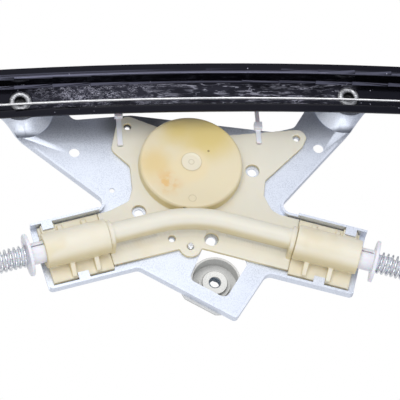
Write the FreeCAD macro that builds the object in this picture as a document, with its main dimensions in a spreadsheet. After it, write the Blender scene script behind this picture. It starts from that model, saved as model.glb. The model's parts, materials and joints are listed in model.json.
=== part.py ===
import FreeCAD, Part
import math
import os
import re
import Sketcher

# Window regulator, one curved guide rail with a cable drive and no motor.
# Row frame: +Z runs up the rail, +X to the side that the drum does not lie on,
# -Y towards the window glass. The origin is on the drum axis, in the back face
# of the drum plate. "Height" is the distance in front of that face, towards -Y.

doc = FreeCAD.newDocument("window_regulator")
sheet = doc.addObject("Spreadsheet::Sheet", "sizes")

driving_sizes = (
    # pressed drum plate
    ("plate_gauge", 1.5),
    ("rim_rise", 4.0),
    ("tray_rim_rise", 6.5),
    ("tray_half_width", 21.2),
    ("tab_width", 6.5),
    ("tab_reach", 6.0),
    ("ear_dish_rise", 9.6),
    ("door_hole_radius", 3.2),
    ("door_hole_x", 13.0),
    ("door_hole_top_z", 68.5),
    ("door_hole_low_z", -80.0),
    ("corner_round", 5.0),
    # curved rail
    ("rail_gauge", 1.2),
    ("rail_radius", 1300.0),
    ("rail_x", 42.6),
    ("rail_stand", 14.5),
    ("channel_half_width", 10.2),
    ("rail_depth", 12.0),
    ("rail_half_width", 16.5),
    ("rail_half_length", 218.0),
    ("tongue_length", 44.0),
    ("end_hole_past", 36.0),
    ("end_hole_radius", 3.3),
    ("bend_radius", 1.5),
    ("rivet_z", 100.0),
    ("rivet_hole_radius", 4.5),
    # drum housing
    ("base_thickness", 2.5),
    ("cup_radius", 31.0),
    ("cup_height", 11.1),
    ("cup_wall", 1.8),
    ("vertex_x", -35.8),
    ("vertex_z", 2.3),
    ("upper_angle", 13.8),
    ("lower_angle", 17.4),
    ("upper_reach", 92.6),
    ("lower_reach", 103.1),
    ("tube_height", 12.0),
    ("ridge_radius", 6.0),
    ("ridge_wall", 1.6),
    ("ridge_height", 14.0),
    ("ridge_bend", 80.0),
    ("collar_radius", 8.6),
    ("cup_neck", 4.8),
    # conduit ends
    ("barrel_radius", 10.2),
    ("barrel_length", 38.5),
    ("barrel_bore", 6.6),
    ("mouth_recess", 2.0),
    ("stem_radius", 6.4),
    ("flange_radius", 12.4),
    ("flange_gap", 8.3),
    ("flange_thickness", 2.0),
    ("spring_radius", 6.7),
    ("spring_wire", 1.3),
    ("spring_length", 38.0),
    ("spring_turns", 13.0),
    ("sleeve_radius", 4.0),
    ("conduit_radius", 3.2),
    ("cable_radius", 0.85),
    ("stem_depth", 12.0),
    ("sleeve_tail", 12.0),
    ("conduit_tail", 46.0),
    # drum and deflector pulleys
    ("drum_pitch", 26.0),
    ("drum_bore", 7.0),
    ("drum_pivot_radius", 5.5),
    ("drum_low", 2.0),
    ("socket_depth", 5.0),
    ("socket_relief", 2.0),
    ("upper_cable_height", 6.4),
    ("lower_cable_height", 2.8),
    ("pulley_pitch", 16.0),
    ("pulley_width", 5.0),
    ("pulley_past", 20.0),
    ("cable_stand", 4.2),
    ("tongue_gap", 0.3),
    ("cable_offset", 4.2),
    ("pin_radius", 3.0),
    # glass carrier
    ("stop_room", 3.0),
    ("carrier_length", 64.0),
    ("nipple_radius", 2.2),
    ("lip_clearance", 0.3),
    ("glass_gap", 5.4),
    ("pad_thickness", 1.2),
    # small parts on the plate
    ("locating_pin_radius", 1.95),
    ("bracket_x", -72.8),
    ("bracket_z", -10.0),
    ("bracket_depth", 8.0),
    ("bracket_rim", 22.0),
    ("bracket_flat", 19.6),
    ("thread_radius", 3.4),
    # fits
    ("running_clearance", 0.05),
    ("seat_gap", 0.1),
)
for row, (alias, number) in enumerate(driving_sizes, start=1):
    sheet.set("A%d" % row, alias)
    sheet.set("B%d" % row, str(number))
    sheet.setAlias("B%d" % row, alias)
doc.recompute()


# places along the rail, all measured from the ends of its flanges
pulley_z = "(rail_half_length + pulley_past)"
tongue_end = "(rail_half_length + tongue_length)"
carrier_rest = "-(rail_half_length - stop_room - carrier_length / 2)"
# heights over the plate's back face
cable_height = "(rail_stand + rail_gauge + cable_stand)"
jaw_low = "rail_stand + rail_depth + 5"
jaw_face = jaw_low + " + 4"
slot_depth = "glass_gap + 2 * pad_thickness"
hub_x = "(rail_x - cable_offset - pulley_pitch)"
socket_x = -3.0
clear_of_windings = 10.2
winding_turns = 3
winding_sides = 28
winding_level = -4.6
spring_steps = 8
conduit_sides = 8
cable_sides = 6
flat_turn = 212.1
conduit_shares = (0.59, 0.77)
lead_share = 0.411
cable_shares = (0.2,)


def size(alias):
    """Number in the named cell."""
    return float(getattr(sheet, alias))


def bound(text):
    """Expression with every size's name pointed at the sheet."""
    for alias, _ in driving_sizes:
        text = re.sub(r"\b%s\b" % alias, "sizes." + alias, text)
    return text


def numbers_in(text):
    """Value of a sum and difference of sizes."""
    total = 0.0
    for sign, alias in re.findall(r"([-+]?)\s*(\w+)", text):
        total += -size(alias) if sign == "-" else size(alias)
    return total


def bind(item, prop, text):
    item.setExpression(prop, bound(text))


def plane_of(body, role):
    """One of the body's own origin planes."""
    return [item for item in body.Origin.OriginFeatures if item.Role == role][0]


def new_body(name):
    return doc.addObject("PartDesign::Body", name)


def new_sketch(body, name, role="XZ_Plane", stand="0"):
    """Sketch on an origin plane. On XZ its x is X, its y is Z, and stand is the height."""
    sketch = body.newObject("Sketcher::SketchObject", name)
    sketch.AttachmentSupport = [(plane_of(body, role), "")]
    sketch.MapMode = "FlatFace"
    bind(sketch, "AttachmentOffset.Base.z", stand)
    return sketch


def fix_point(sketch, line, end, across, along, start):
    """Hold one point at two named distances from the sketch's origin."""
    for kind, text, value in (("DistanceX", across, start.x), ("DistanceY", along, start.y)):
        index = sketch.addConstraint(Sketcher.Constraint(kind, -1, 1, line, end, value))
        bind(sketch, "Constraints[%d]" % index, text)


def draw_outline(sketch, corners):
    """Closed outline through corners given as pairs of expressions."""
    count = len(corners)
    first = sketch.GeometryCount
    spread = [FreeCAD.Vector(50 * math.cos(2 * math.pi * i / count), 50 * math.sin(2 * math.pi * i / count), 0)
              for i in range(count)]
    for i in range(count):
        sketch.addGeometry(Part.LineSegment(spread[i], spread[(i + 1) % count]))
    for i in range(count):
        sketch.addConstraint(Sketcher.Constraint("Coincident", first + i, 2, first + (i + 1) % count, 1))
    for i, corner in enumerate(corners):
        fix_point(sketch, first + i, 1, corner[0], corner[1], spread[i])


def bend_about_rail_centre(body, name, sketch, angle):
    """Turn a section drawn at mid rail about the rail's centre of curvature."""
    far = size("rail_radius")
    axis = sketch.addGeometry(Part.LineSegment(FreeCAD.Vector(-10, far, 0), FreeCAD.Vector(10, far, 0)), True)
    for end, across in ((1, "-10"), (2, "10")):
        fix_point(sketch, axis, end, across, "rail_radius - rail_stand", FreeCAD.Vector(-10, far, 0))
    bend = body.newObject("PartDesign::Revolution", name)
    bend.Profile = sketch
    bend.ReferenceAxis = (sketch, ["Axis0"])
    bend.Midplane = True
    bind(bend, "Angle", angle)
    doc.recompute()
    return bend


def grow(body, kind, name, sketch, length, backwards=False):
    """Pad or pocket of a sketch."""
    feature = body.newObject("PartDesign::" + kind, name)
    feature.Profile = sketch
    feature.Reversed = backwards
    bind(feature, "Length", length)
    doc.recompute()
    return feature


def turn(body, kind, name, sketch, axis="V_Axis"):
    """Revolution or groove of a sketch about one of its own axes."""
    feature = body.newObject("PartDesign::" + kind, name)
    feature.Profile = sketch
    feature.ReferenceAxis = (sketch, [axis])
    feature.Angle = 360
    doc.recompute()
    return feature


def edges_at(shape, corner, direction):
    """Names of the edges that run along a direction through a corner."""
    names = []
    for number, edge in enumerate(shape.Edges, start=1):
        ends = [vertex.Point for vertex in edge.Vertexes]
        if len(ends) < 2:
            continue
        run = ends[1] - ends[0]
        off = (ends[0] - corner).cross(direction).Length
        if off < 0.001 and run.cross(direction).Length < 0.001:
            names.append("Edge%d" % number)
    return names


def round_corners(body, base, sketch, rounds):
    """Round upright corners of a pad; rounds maps a radius expression to corner numbers."""
    direction = FreeCAD.Vector(0, 1, 0)
    places = [FreeCAD.Vector(line.StartPoint.x, 0, line.StartPoint.y) for line in sketch.Geometry]
    for radius, numbers in rounds.items():
        fillet = body.newObject("PartDesign::Fillet", base.Name + "_round")
        names = []
        for number in numbers:
            names += edges_at(base.Shape, places[number], direction)
        fillet.Base = (base, names)
        bind(fillet, "Radius", radius)
        doc.recompute()
        base = fillet
    return base


def cylinder(name, across, along, radius, low, length):
    """Cylinder along -Y that starts at height low."""
    item = doc.addObject("Part::Cylinder", name)
    item.Placement = FreeCAD.Placement(FreeCAD.Vector(), FreeCAD.Rotation(FreeCAD.Vector(1, 0, 0), 90))
    bind(item, "Placement.Base.x", across)
    bind(item, "Placement.Base.y", "-(" + low + ")")
    bind(item, "Placement.Base.z", along)
    bind(item, "Radius", radius)
    bind(item, "Height", length)
    return item


def block(name, across, along, low, width, length, rise):
    """Box from its lowest X, lowest Z and lowest height."""
    item = doc.addObject("Part::Box", name)
    bind(item, "Placement.Base.x", across)
    bind(item, "Placement.Base.y", "-(" + low + ") - (" + rise + ")")
    bind(item, "Placement.Base.z", along)
    bind(item, "Length", width)
    bind(item, "Width", rise)
    bind(item, "Height", length)
    return item


def rod(name, across, height, radius, start, length, side=1):
    """Cylinder along the local Z, from start towards the side given."""
    item = doc.addObject("Part::Cylinder", name)
    bind(item, "Placement.Base.x", across)
    bind(item, "Placement.Base.y", "-(" + height + ")")
    far = "(" + start + ") + (" + length + ")"
    bind(item, "Placement.Base.z", start if side > 0 else "-(" + far + ")")
    bind(item, "Radius", radius)
    bind(item, "Height", length)
    return item


def join(name, items):
    result = doc.addObject("Part::MultiFuse", name)
    result.Shapes = items
    return result


def cut(name, base, tools):
    """Base less one tool or the sum of several."""
    result = doc.addObject("Part::Cut", name)
    result.Base = base
    result.Tool = tools[0] if len(tools) == 1 else join(name + "_tools", tools)
    return result


def hold(name, items):
    """Separate solids kept together, so that they can be placed as one."""
    result = doc.addObject("Part::Compound", name)
    result.Links = items
    return result


def common(name, first, second):
    result = doc.addObject("Part::Common", name)
    result.Base = first
    result.Tool = second
    return result


def seat_on_rail(item, along):
    """Carry a piece made at mid rail round the rail's centre of curvature to a place along it."""
    tilt = "asin((%s) / rail_radius)" % along
    item.Placement = FreeCAD.Placement(FreeCAD.Vector(), FreeCAD.Rotation(FreeCAD.Vector(1, 0, 0), 1))
    bind(item, "Placement.Rotation.Angle", "-" + tilt)
    bind(item, "Placement.Base.y", "(rail_radius - rail_stand) * (1 - cos(%s))" % tilt)
    bind(item, "Placement.Base.z", "(rail_radius - rail_stand) * sin(%s)" % tilt)
    return item


def seat_on_tube(item, side):
    """Turn a piece made along Z from the vertex to the cable tube's own angle."""
    angle = "-upper_angle" if side > 0 else "lower_angle"
    item.Placement = FreeCAD.Placement(FreeCAD.Vector(), FreeCAD.Rotation(FreeCAD.Vector(0, 1, 0), 1))
    bind(item, "Placement.Rotation.Angle", angle)
    bind(item, "Placement.Base.x", "vertex_x")
    bind(item, "Placement.Base.z", "vertex_z")
    return item


sub_parts = []


def keep(item, label):
    """Name a finished sub-part and list it for export."""
    item.Label = label
    sub_parts.append(item)
    return item


def side_name(side):
    return "upper" if side > 0 else "lower"


def reach(side):
    return "upper_reach" if side > 0 else "lower_reach"


def along_side(side, text):
    """The same distance towards +Z for the upper side and -Z for the lower."""
    return "(%s)" % text if side > 0 else "-(%s)" % text


def tray_point(side, along, across):
    """Row X and Z of a point given along and across a tray's axis."""
    angle = "upper_angle" if side > 0 else "lower_angle"
    x = "vertex_x - (%s) * sin(%s) + (%s) * cos(%s)" % (along, angle, across, angle)
    run = "(%s) * cos(%s) + (%s) * sin(%s)" % (along, angle, across, angle)
    z = "vertex_z + " + run if side > 0 else "vertex_z - (" + run + ")"
    return x, z


# drum plate: outline of the pressed sheet, from the upper ear round to the lower one

def plate_outline(name, rise):
    body = new_body(name)
    sketch = new_sketch(body, name + "_outline")
    corners = [("rail_x + 12.5", "rivet_z + 13"), ("36", "rivet_z + 12.5"), ("20.5", "rivet_z - 0.2")]
    corners.append(tray_point(1, "42.5", "tray_half_width"))
    corners.append(tray_point(1, "upper_reach", "tray_half_width"))
    corners.append(tray_point(1, "upper_reach", "-tray_half_width"))
    corners.append(tray_point(1, "39", "-tray_half_width"))
    corners.append(("-100", "-19.5"))
    corners.append(tray_point(-1, "51", "-tray_half_width"))
    corners.append(tray_point(-1, "lower_reach", "-tray_half_width"))
    corners.append(tray_point(-1, "lower_reach", "tray_half_width"))
    corners.append(tray_point(-1, "48", "tray_half_width"))
    corners += [("20.5", "-rivet_z + 2"), ("38", "-rivet_z - 13.5"), ("rail_x + 12.5", "-rivet_z - 13")]
    corners += [("rail_x + 12.5", "-rivet_z + 15"), ("27.5", "-66.5"), ("24.6", "-54"), ("37.8", "33")]
    corners += [("35.2", "68"), ("rail_x + 12.5", "rivet_z - 17")]
    draw_outline(sketch, corners)
    pad = grow(body, "Pad", name + "_pad", sketch, rise)
    rounds = {"corner_round": (1, 2, 3, 6, 8, 11, 12, 13, 16, 17, 19), "corner_round * 0.5": (4, 5, 7, 9, 10),
              "corner_round * 2": (0, 14, 15, 18, 20)}
    round_corners(body, pad, sketch, rounds)
    return body


def hollow_tray(blank):
    """Press the blank into a shallow tray with a rim one gauge thick all round."""
    rounded = blank.Tip
    faces = [i for i, face in enumerate(blank.Shape.Faces, start=1)
             if abs(face.CenterOfMass.y + size("plate_gauge") + size("rim_rise")) < 0.001]
    tray = blank.newObject("PartDesign::Thickness", "pressed_rim")
    tray.Base = (rounded, ["Face%d" % faces[0]])
    tray.Reversed = True
    bind(tray, "Value", "plate_gauge")
    doc.recompute()


def ear_dish(side):
    """Dished pad that lifts an ear to the back of the curved rail, square to the rail there."""
    name = side_name(side) + "_ear_dish"
    body = new_body(name)
    sketch = new_sketch(body, name + "_profile", "XY_Plane")
    top = "-rail_stand + seat_gap"
    foot = top + " + ear_dish_rise"
    corners = [("rivet_hole_radius", top), ("12.2", top), ("19.6", foot), ("18.2", foot + " + plate_gauge * 0.6")]
    corners += [("11.4", top + " + plate_gauge"), ("rivet_hole_radius", top + " + plate_gauge")]
    draw_outline(sketch, corners)
    turn(body, "Revolution", name + "_turn", sketch)
    bind(body, "Placement.Base.x", "rail_x")
    return seat_on_rail(hold(name + "_seated", [body]), along_side(side, "rivet_z"))


def plate_window():
    body = new_body("plate_window")
    sketch = new_sketch(body, "plate_window_outline", stand="-1")
    draw_outline(sketch, [("-47", "-6.5"), ("-61.6", "-30.9"), ("-85.4", "-15"), ("-72.3", "5.8")])
    pad = grow(body, "Pad", "plate_window_pad", sketch, "plate_gauge + rim_rise + 2")
    round_corners(body, pad, sketch, {"corner_round * 0.8": (1, 2, 3)})
    return body


def tray_fittings(side):
    """Raised rim and two bent tabs of one tray, made along Z and then turned to the tube."""
    name = side_name(side)
    end = reach(side)
    rim = block(name + "_high_rim", "tray_half_width - plate_gauge",
                end + " - 42" if side > 0 else "-" + end, "plate_gauge", "plate_gauge", "42", "tray_rim_rise")
    top_tab = block(name + "_top_tab", "tray_half_width - tab_reach",
                    along_side(side, end + " - 9.4") + " - tab_width / 2", "tray_rim_rise", "tab_reach",
                    "tab_width", "plate_gauge")
    low_tab = block(name + "_low_tab", "-tray_half_width",
                    along_side(side, end + " - 21.5") + " - tab_width / 2", "rim_rise", "tab_reach",
                    "tab_width", "plate_gauge")
    return seat_on_tube(join(name + "_tray_fittings", [rim, top_tab, low_tab]), side)


def tray_mouth(side):
    """Cut that opens a tray's end rim between its two side rims."""
    name = side_name(side) + "_tray_mouth"
    end = reach(side)
    start = end + " - 2.4" if side > 0 else "-(" + end + ") - 4"
    cutter = block(name, "-tray_half_width + plate_gauge", start, "plate_gauge",
                   "2 * tray_half_width - 2 * plate_gauge", "6.4", "rim_rise + 1")
    return seat_on_tube(hold(name + "_turned", [cutter]), side)


motor_bosses = (("-2.8", "-37.7"), ("-28.8", "32.5"), ("-47.9", "-9.2"))
screw_holes = (("28.8", "35.8"), ("19", "-66.7"), ("-47", "14.2"))
tie_slots = (("16.2", "41"), ("16.2", "-43.4"))


def make_drum_plate():
    blank = plate_outline("plate_blank", "plate_gauge + rim_rise")
    hollow_tray(blank)
    trim = plate_outline("ear_trim", "rail_stand")
    tools = [block("rim_trim", "14.5", "-rivet_z - 20", "plate_gauge", "60", "2 * rivet_z + 40", "20")]
    tools += [cylinder("ear_clear_%d" % i, "rail_x", z, "19.2", "-1", "10")
              for i, z in enumerate(("rivet_z - 0.6", "-rivet_z + 0.6"))]
    tools += [tray_mouth(1), tray_mouth(-1), plate_window()]
    tools.append(cylinder("plate_drum_opening", "0", "0", "cup_radius - cup_wall", "-1", "5"))
    tools += [cylinder("door_hole_%d" % i, "door_hole_x", z, "door_hole_radius", "-1", "4")
              for i, z in enumerate(("door_hole_top_z", "door_hole_low_z"))]
    tools.append(cylinder("gauge_hole", "-13.1", "47.4", "1.6", "-1", "4"))
    tools += [cylinder("plate_boss_hole_%d" % i, x, z, "2.75", "-1", "4")
              for i, (x, z) in enumerate(motor_bosses)]
    tools += [cylinder("plate_screw_hole_%d" % i, x, z, "1.6", "-1", "4")
              for i, (x, z) in enumerate(screw_holes)]
    tools.append(cylinder("plate_pin_hole", "-52.4", "3.6", "2", "-1", "4"))
    sheet_part = cut("pressed_sheet", blank, tools)
    dishes = common("ear_dishes", join("ear_dish_pair", [ear_dish(1), ear_dish(-1)]), trim)
    plate = join("drum_plate_whole", [sheet_part, dishes, tray_fittings(1), tray_fittings(-1)])
    plate.Refine = True
    slots = [block("plate_tie_slot_%d" % i, x + " - 1", z + " - 1.6", "-1", "2", "3.2", "4")
             for i, (x, z) in enumerate(tie_slots)]
    keep(cut("drum_plate", plate, slots), "drum_plate")


# curved guide rail: a hat section turned about the rail's centre of curvature

def rail_edges(shape, places):
    """Names of the long edges through places given by distance from the rail's middle and by Y."""
    names = []
    for across, back in places:
        off, low = (numbers_in(across), numbers_in(back))
        for number, edge in enumerate(shape.Edges, start=1):
            curve = edge.Curve
            if curve.TypeId != "Part::GeomCircle" or edge.Length < size("rail_half_length"):
                continue
            side_gap = abs(abs(curve.Center.x - size("rail_x")) - off)
            if side_gap < 0.001 and abs(size("rail_radius") - size("rail_stand") - low - curve.Radius) < 0.001:
                names.append("Edge%d" % number)
    return names


def make_guide_rail():
    body = new_body("rail_bend_body")
    sketch = new_sketch(body, "rail_section", "XY_Plane")
    back = "-rail_stand"
    web = "-rail_stand - rail_gauge"
    lip = "-rail_stand - rail_depth"
    inner = "channel_half_width"
    outer = "channel_half_width + rail_gauge"
    corners = []
    for sign in ("+", "-"):
        half = [("rail_x %s (%s)" % (sign, outer), back), ("rail_x %s (%s)" % (sign, outer), lip + " + rail_gauge"),
                ("rail_x %s rail_half_width" % sign, lip + " + rail_gauge"),
                ("rail_x %s rail_half_width" % sign, lip), ("rail_x %s (%s)" % (sign, inner), lip),
                ("rail_x %s (%s)" % (sign, inner), web)]
        corners += half if sign == "+" else half[::-1]
    draw_outline(sketch, corners)
    bend = bend_about_rail_centre(body, "rail_bend", sketch, "2 * asin(%s / rail_radius)" % tongue_end)
    inner_bends = [(outer, lip + " + rail_gauge"), (inner, web)]
    outer_bends = [(outer, back), (inner, lip)]
    for name, places, radius in (("rail_inner_bends", inner_bends, "bend_radius"),
                                 ("rail_outer_bends", outer_bends, "bend_radius + rail_gauge")):
        fillet = body.newObject("PartDesign::Fillet", name)
        fillet.Base = (bend, rail_edges(bend.Shape, places))
        bind(fillet, "Radius", radius)
        doc.recompute()
        bend = fillet
    tools = [cylinder("rail_rivet_hole_%d" % i, "rail_x", z, "rivet_hole_radius", "0", "20")
             for i, z in enumerate(("rivet_z", "-rivet_z"))]
    for side in (1, -1):
        name = side_name(side)
        low = "rail_half_length" if side > 0 else "-rail_half_length - 80"
        tools.append(block(name + "_end_trim_a", "rail_x + channel_half_width - 0.4", low, "-60", "20", "80", "100"))
        tools.append(block(name + "_end_trim_b", "rail_x - channel_half_width - 19.6", low, "-60", "20", "80", "100"))
        hole = cylinder(name + "_end_hole", "rail_x + 4", along_side(side, "end_hole_past - pulley_past"),
                        "end_hole_radius", "0", "60")
        tools.append(seat_on_rail(hold(hole.Name + "_seated", [hole]), along_side(side, pulley_z)))
    keep(cut("guide_rail", body, tools), "guide_rail")


def tube_of_revolution(name, corners):
    """Turned piece about the Y axis from a profile of radius and Y."""
    body = new_body(name)
    sketch = new_sketch(body, name + "_profile", "XY_Plane")
    draw_outline(sketch, corners)
    turn(body, "Revolution", name + "_turn", sketch)
    return body


def make_rail_rivets():
    """Two flared tubular rivets, square to the rail where they sit."""
    rivets = []
    front = "-rail_stand - rail_gauge - seat_gap * 0.5"
    rear = "-rail_stand + seat_gap * 1.5 + plate_gauge"
    shank = "rivet_hole_radius - seat_gap"
    for side in (1, -1):
        corners = [("0", rear + " + 1.3"), ("7.6", rear + " + 1.3"), ("7.6", rear), (shank, rear), (shank, front)]
        corners += [("6.9", front), ("6.2", front + " - 1.4"), ("3.1", front + " - 1.4"),
                    ("3.1", front + " + 2.4"), ("0", front + " + 2.4")]
        rivet = tube_of_revolution(side_name(side) + "_rail_rivet", corners)
        bind(rivet, "Placement.Base.x", "rail_x")
        rivets.append(seat_on_rail(hold(rivet.Name + "_seated", [rivet]), along_side(side, "rivet_z")))
    keep(hold("rail_rivets", rivets), "rail_rivets")


def section_pad(name, corners, start, length):
    """Prism along Z from a profile of X and Y."""
    body = new_body(name)
    sketch = new_sketch(body, name + "_profile", "XY_Plane", start)
    draw_outline(sketch, corners)
    grow(body, "Pad", name + "_pad", sketch, length)
    return body


def turned_along(name, corners):
    """Turned piece about the Z axis from a profile of radius and Z."""
    body = new_body(name)
    sketch = new_sketch(body, name + "_profile")
    draw_outline(sketch, corners)
    turn(body, "Revolution", name + "_turn", sketch)
    return body


def seam(side):
    return reach(side) + " - mouth_recess - barrel_length"


def mouth(side):
    return reach(side) + " - mouth_recess"


# drum housing: base plate, drum cup and the two cable channels, in one moulding

bend_run = "(ridge_bend * tan((upper_angle + lower_angle) / 2))"


def cable_channel(side, hollow):
    """Half-round ridge over one cable tube, or the hollow inside it that is open to the plate."""
    name = side_name(side) + ("_channel_hollow" if hollow else "_channel")
    radius = "ridge_radius - ridge_wall" if hollow else "ridge_radius"
    low = "0" if hollow else "plate_gauge"
    length = "(%s - %s)" % (seam(side), bend_run)
    start = bend_run if side > 0 else "-(" + seam(side) + ")"
    items = [rod(name + "_tube", "0", "ridge_height", radius, bend_run, length, side)]
    items.append(block(name + "_foot", "-(" + radius + ")", start, low, "2 * (" + radius + ")", length,
                       "ridge_height - (" + low + ")"))
    if not hollow:
        band_start = seam(side) + " - 3" if side > 0 else "-(" + seam(side) + ")"
        items.append(rod(name + "_collar", "0", "tube_height", "collar_radius", seam(side) + " - 3", "3", side))
        items.append(block(name + "_collar_foot", "-collar_radius", band_start, low, "2 * collar_radius", "3",
                           "tube_height - plate_gauge"))
    return seat_on_tube(join(name + "_turned", items), side)


def channel_bend():
    """Smooth bend that joins the two ridges over the vertex."""
    ring = doc.addObject("Part::Torus", "bend_crown")
    bind(ring, "Radius1", "ridge_bend")
    bind(ring, "Radius2", "ridge_radius")
    bind(ring, "Angle3", "upper_angle + lower_angle")
    ring.Placement = FreeCAD.Placement(FreeCAD.Vector(), FreeCAD.Rotation(FreeCAD.Vector(1, 0, 0), 90))
    bind(ring, "Placement.Base.y", "-ridge_height")
    foot = cylinder("bend_foot", "0", "0", "ridge_bend + ridge_radius", "plate_gauge",
                    "ridge_height - plate_gauge")
    bind(foot, "Angle", "upper_angle + lower_angle")
    inside = cylinder("bend_inside", "0", "0", "ridge_bend - ridge_radius", "-1", "40")
    bent = hold("bend_turned", [join("bend_section", [ring, cut("bend_skirts", foot, [inside])])])
    bent.Placement = FreeCAD.Placement(FreeCAD.Vector(), FreeCAD.Rotation(FreeCAD.Vector(0, 1, 0), 1))
    bind(bent, "Placement.Rotation.Angle", "lower_angle")
    bind(bent, "Placement.Base.x", "vertex_x - %s * sin(upper_angle) - ridge_bend * cos(upper_angle)" % bend_run)
    bind(bent, "Placement.Base.z", "vertex_z + %s * cos(upper_angle) - ridge_bend * sin(upper_angle)" % bend_run)
    return bent


pivot_height = "(socket_depth + socket_relief - drum_low + 0.3)"


def drum_cup():
    front = "-cup_height"
    inner = "-cup_height + cup_wall"
    pivot_end = "-" + pivot_height
    corners = [("cup_radius", "-plate_gauge"), ("cup_radius", front + " + 1.2"),
               ("cup_radius - 1.1", front), ("6.2", front), ("5.8", front + " + 0.5"), ("0", front + " + 0.5"),
               ("0", pivot_end), ("drum_pivot_radius", pivot_end), ("drum_pivot_radius", inner),
               ("cup_radius - cup_wall", inner), ("cup_radius - cup_wall", "-plate_gauge")]
    return tube_of_revolution("drum_cup", corners)


def housing_base():
    body = new_body("housing_base")
    sketch = new_sketch(body, "housing_base_outline", stand="plate_gauge")
    edge = "tray_half_width - plate_gauge - 0.5"
    low_edge = "-15.5"
    corners = [("24", "8"), ("36.4", "35.6"), ("33", "41.8"), ("13.2", "46.8"), ("2", "36"), ("-13", "35.5"),
               ("-21.5", "38")]
    corners += [tray_point(1, "44.5", edge), tray_point(1, seam(1), edge), tray_point(1, seam(1), low_edge)]
    corners.append(("vertex_x - 16.1", "vertex_z"))
    corners += [tray_point(-1, seam(-1), low_edge), tray_point(-1, seam(-1), edge), tray_point(-1, "50", edge)]
    corners += [("-29.5", "-47"), ("-20", "-43.2"), ("-9.5", "-45"), ("13", "-70"), ("19.5", "-73.2"),
                ("25.2", "-70.5"), ("23", "-41"), ("21", "-12")]
    draw_outline(sketch, corners)
    pad = grow(body, "Pad", "housing_base_pad", sketch, "base_thickness")
    round_corners(body, pad, sketch, {"corner_round": (1, 2, 3, 17, 19), "corner_round * 0.8": (4, 5, 6, 14, 15, 16),
                                      "corner_round * 0.5": (18,)})
    return body


def cable_run(side):
    """Ends of the straight cable run from the drum to its tube: on the pitch circle, then on the tube's axis."""
    angle = math.radians(size("upper_angle" if side > 0 else "lower_angle"))
    inside = 42.0
    level = size("upper_cable_height" if side > 0 else "lower_cable_height")
    x = size("vertex_x") - inside * math.sin(angle)
    z = size("vertex_z") + side * inside * math.cos(angle)
    away = math.hypot(x, z)
    turn_angle = math.acos(size("drum_pitch") / away)
    toward = math.atan2(x, z) - side * turn_angle
    on_drum = FreeCAD.Vector(size("drum_pitch") * math.sin(toward), -level, size("drum_pitch") * math.cos(toward))
    return on_drum, FreeCAD.Vector(x, -size("tube_height"), z)


def cable_passage(side):
    """Clear way for the cable from the drum through the cup wall into its channel."""
    start, end = cable_run(side)
    way = doc.addObject("Part::Feature", side_name(side) + "_cable_passage")
    way.Shape = Part.makeCylinder(2.0, (end - start).Length, start, end - start)
    return way


def make_drum_housing():
    lobe = cylinder("pin_lobe", "-52.4", "3.6", "6.6", "plate_gauge", "base_thickness")
    solid = join("housing_solid", [housing_base(), drum_cup(), lobe, cable_channel(1, False),
                                   cable_channel(-1, False), channel_bend()])
    cavity = cylinder("drum_cavity", "0", "0", "cup_radius - cup_wall", "0", "cup_height - cup_wall")
    stay = cylinder("pivot_stay", "0", "0", "drum_pivot_radius", pivot_height, "20")
    for hollow in (cable_channel(1, True), cable_channel(-1, True), cut("drum_cavity_ring", cavity, [stay]),
                   cable_passage(1), cable_passage(-1)):
        solid = cut("housing_less_" + hollow.Name, solid, [hollow])
    tools = [cylinder("boss_hole_%d" % i, x, z, "4.2", "0", "6") for i, (x, z) in enumerate(motor_bosses)]
    tools += [cylinder("screw_hole_%d" % i, x, z, "2.25", "0", "6") for i, (x, z) in enumerate(screw_holes)]
    tools.append(cylinder("pin_hole", "-52.4", "3.6", "locating_pin_radius", "0", "6"))
    tools += [block("tie_slot_%d" % i, x + " - 1", z + " - 1.6", "0", "2", "3.2", "6")
              for i, (x, z) in enumerate(tie_slots)]
    keep(cut("drum_housing_cut", solid, tools), "drum_housing")


def make_spring_cup(side):
    """Barrel on a foot plate that holds the conduit's sprung end, under the tray's two tabs."""
    name = side_name(side) + "_spring_cup"
    start = seam(side) + " + seat_gap"
    edge = "tray_half_width - plate_gauge - 0.5"
    foot_z = start if side > 0 else "-(" + mouth(side) + " - 1.5)"
    items = [block(name + "_foot", "-17.8", foot_z, "plate_gauge", "17.8 + (" + edge + ")",
                   "barrel_length - 1.5 - seat_gap", "base_thickness")]
    items.append(rod(name + "_barrel", "0", "tube_height", "barrel_radius", start, "barrel_length - seat_gap", side))
    items.append(block(name + "_tab_pad", "13", along_side(side, reach(side) + " - 9.4") + " - tab_width / 2 - 1",
                       "plate_gauge", "tray_half_width - plate_gauge - 13.5", "tab_width + 2",
                       "tray_rim_rise - plate_gauge"))
    for number, place in enumerate(("16.5", "31")):
        level = "plate_gauge + base_thickness"
        corners = [("-17", "-" + "(" + level + ")"), ("-17", "-(" + level + " + 1.2)"),
                   ("-8.5", "-(tube_height - 1.5)"), ("17.5", "-(" + level + " + 1.2)"), ("17.5", "-(" + level + ")")]
        items.append(section_pad(name + "_rib_%d" % number, corners,
                                 along_side(side, reach(side) + " - " + place) + " - 1.5", "3"))
    solid = join(name + "_solid", items)
    tools = [rod(name + "_bore", "0", "tube_height", "barrel_bore", mouth(side) + " - stem_depth - 0.3",
                 "stem_depth + 2", side)]
    tools.append(rod(name + "_neck", "0", "tube_height", "cup_neck", seam(side) + " - 1", "barrel_length", side))
    keep(seat_on_tube(cut(name + "_cut", solid, tools), side), name)


def on_tube_axis(item, side):
    """Place a piece turned about the local Z on the tube's axis."""
    bind(item, "Placement.Base.y", "-tube_height")
    return seat_on_tube(hold(item.Name + "_seated", [item]), side)


def along_profile(side, corners):
    return [(radius, along_side(side, along)) for radius, along in corners]


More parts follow.
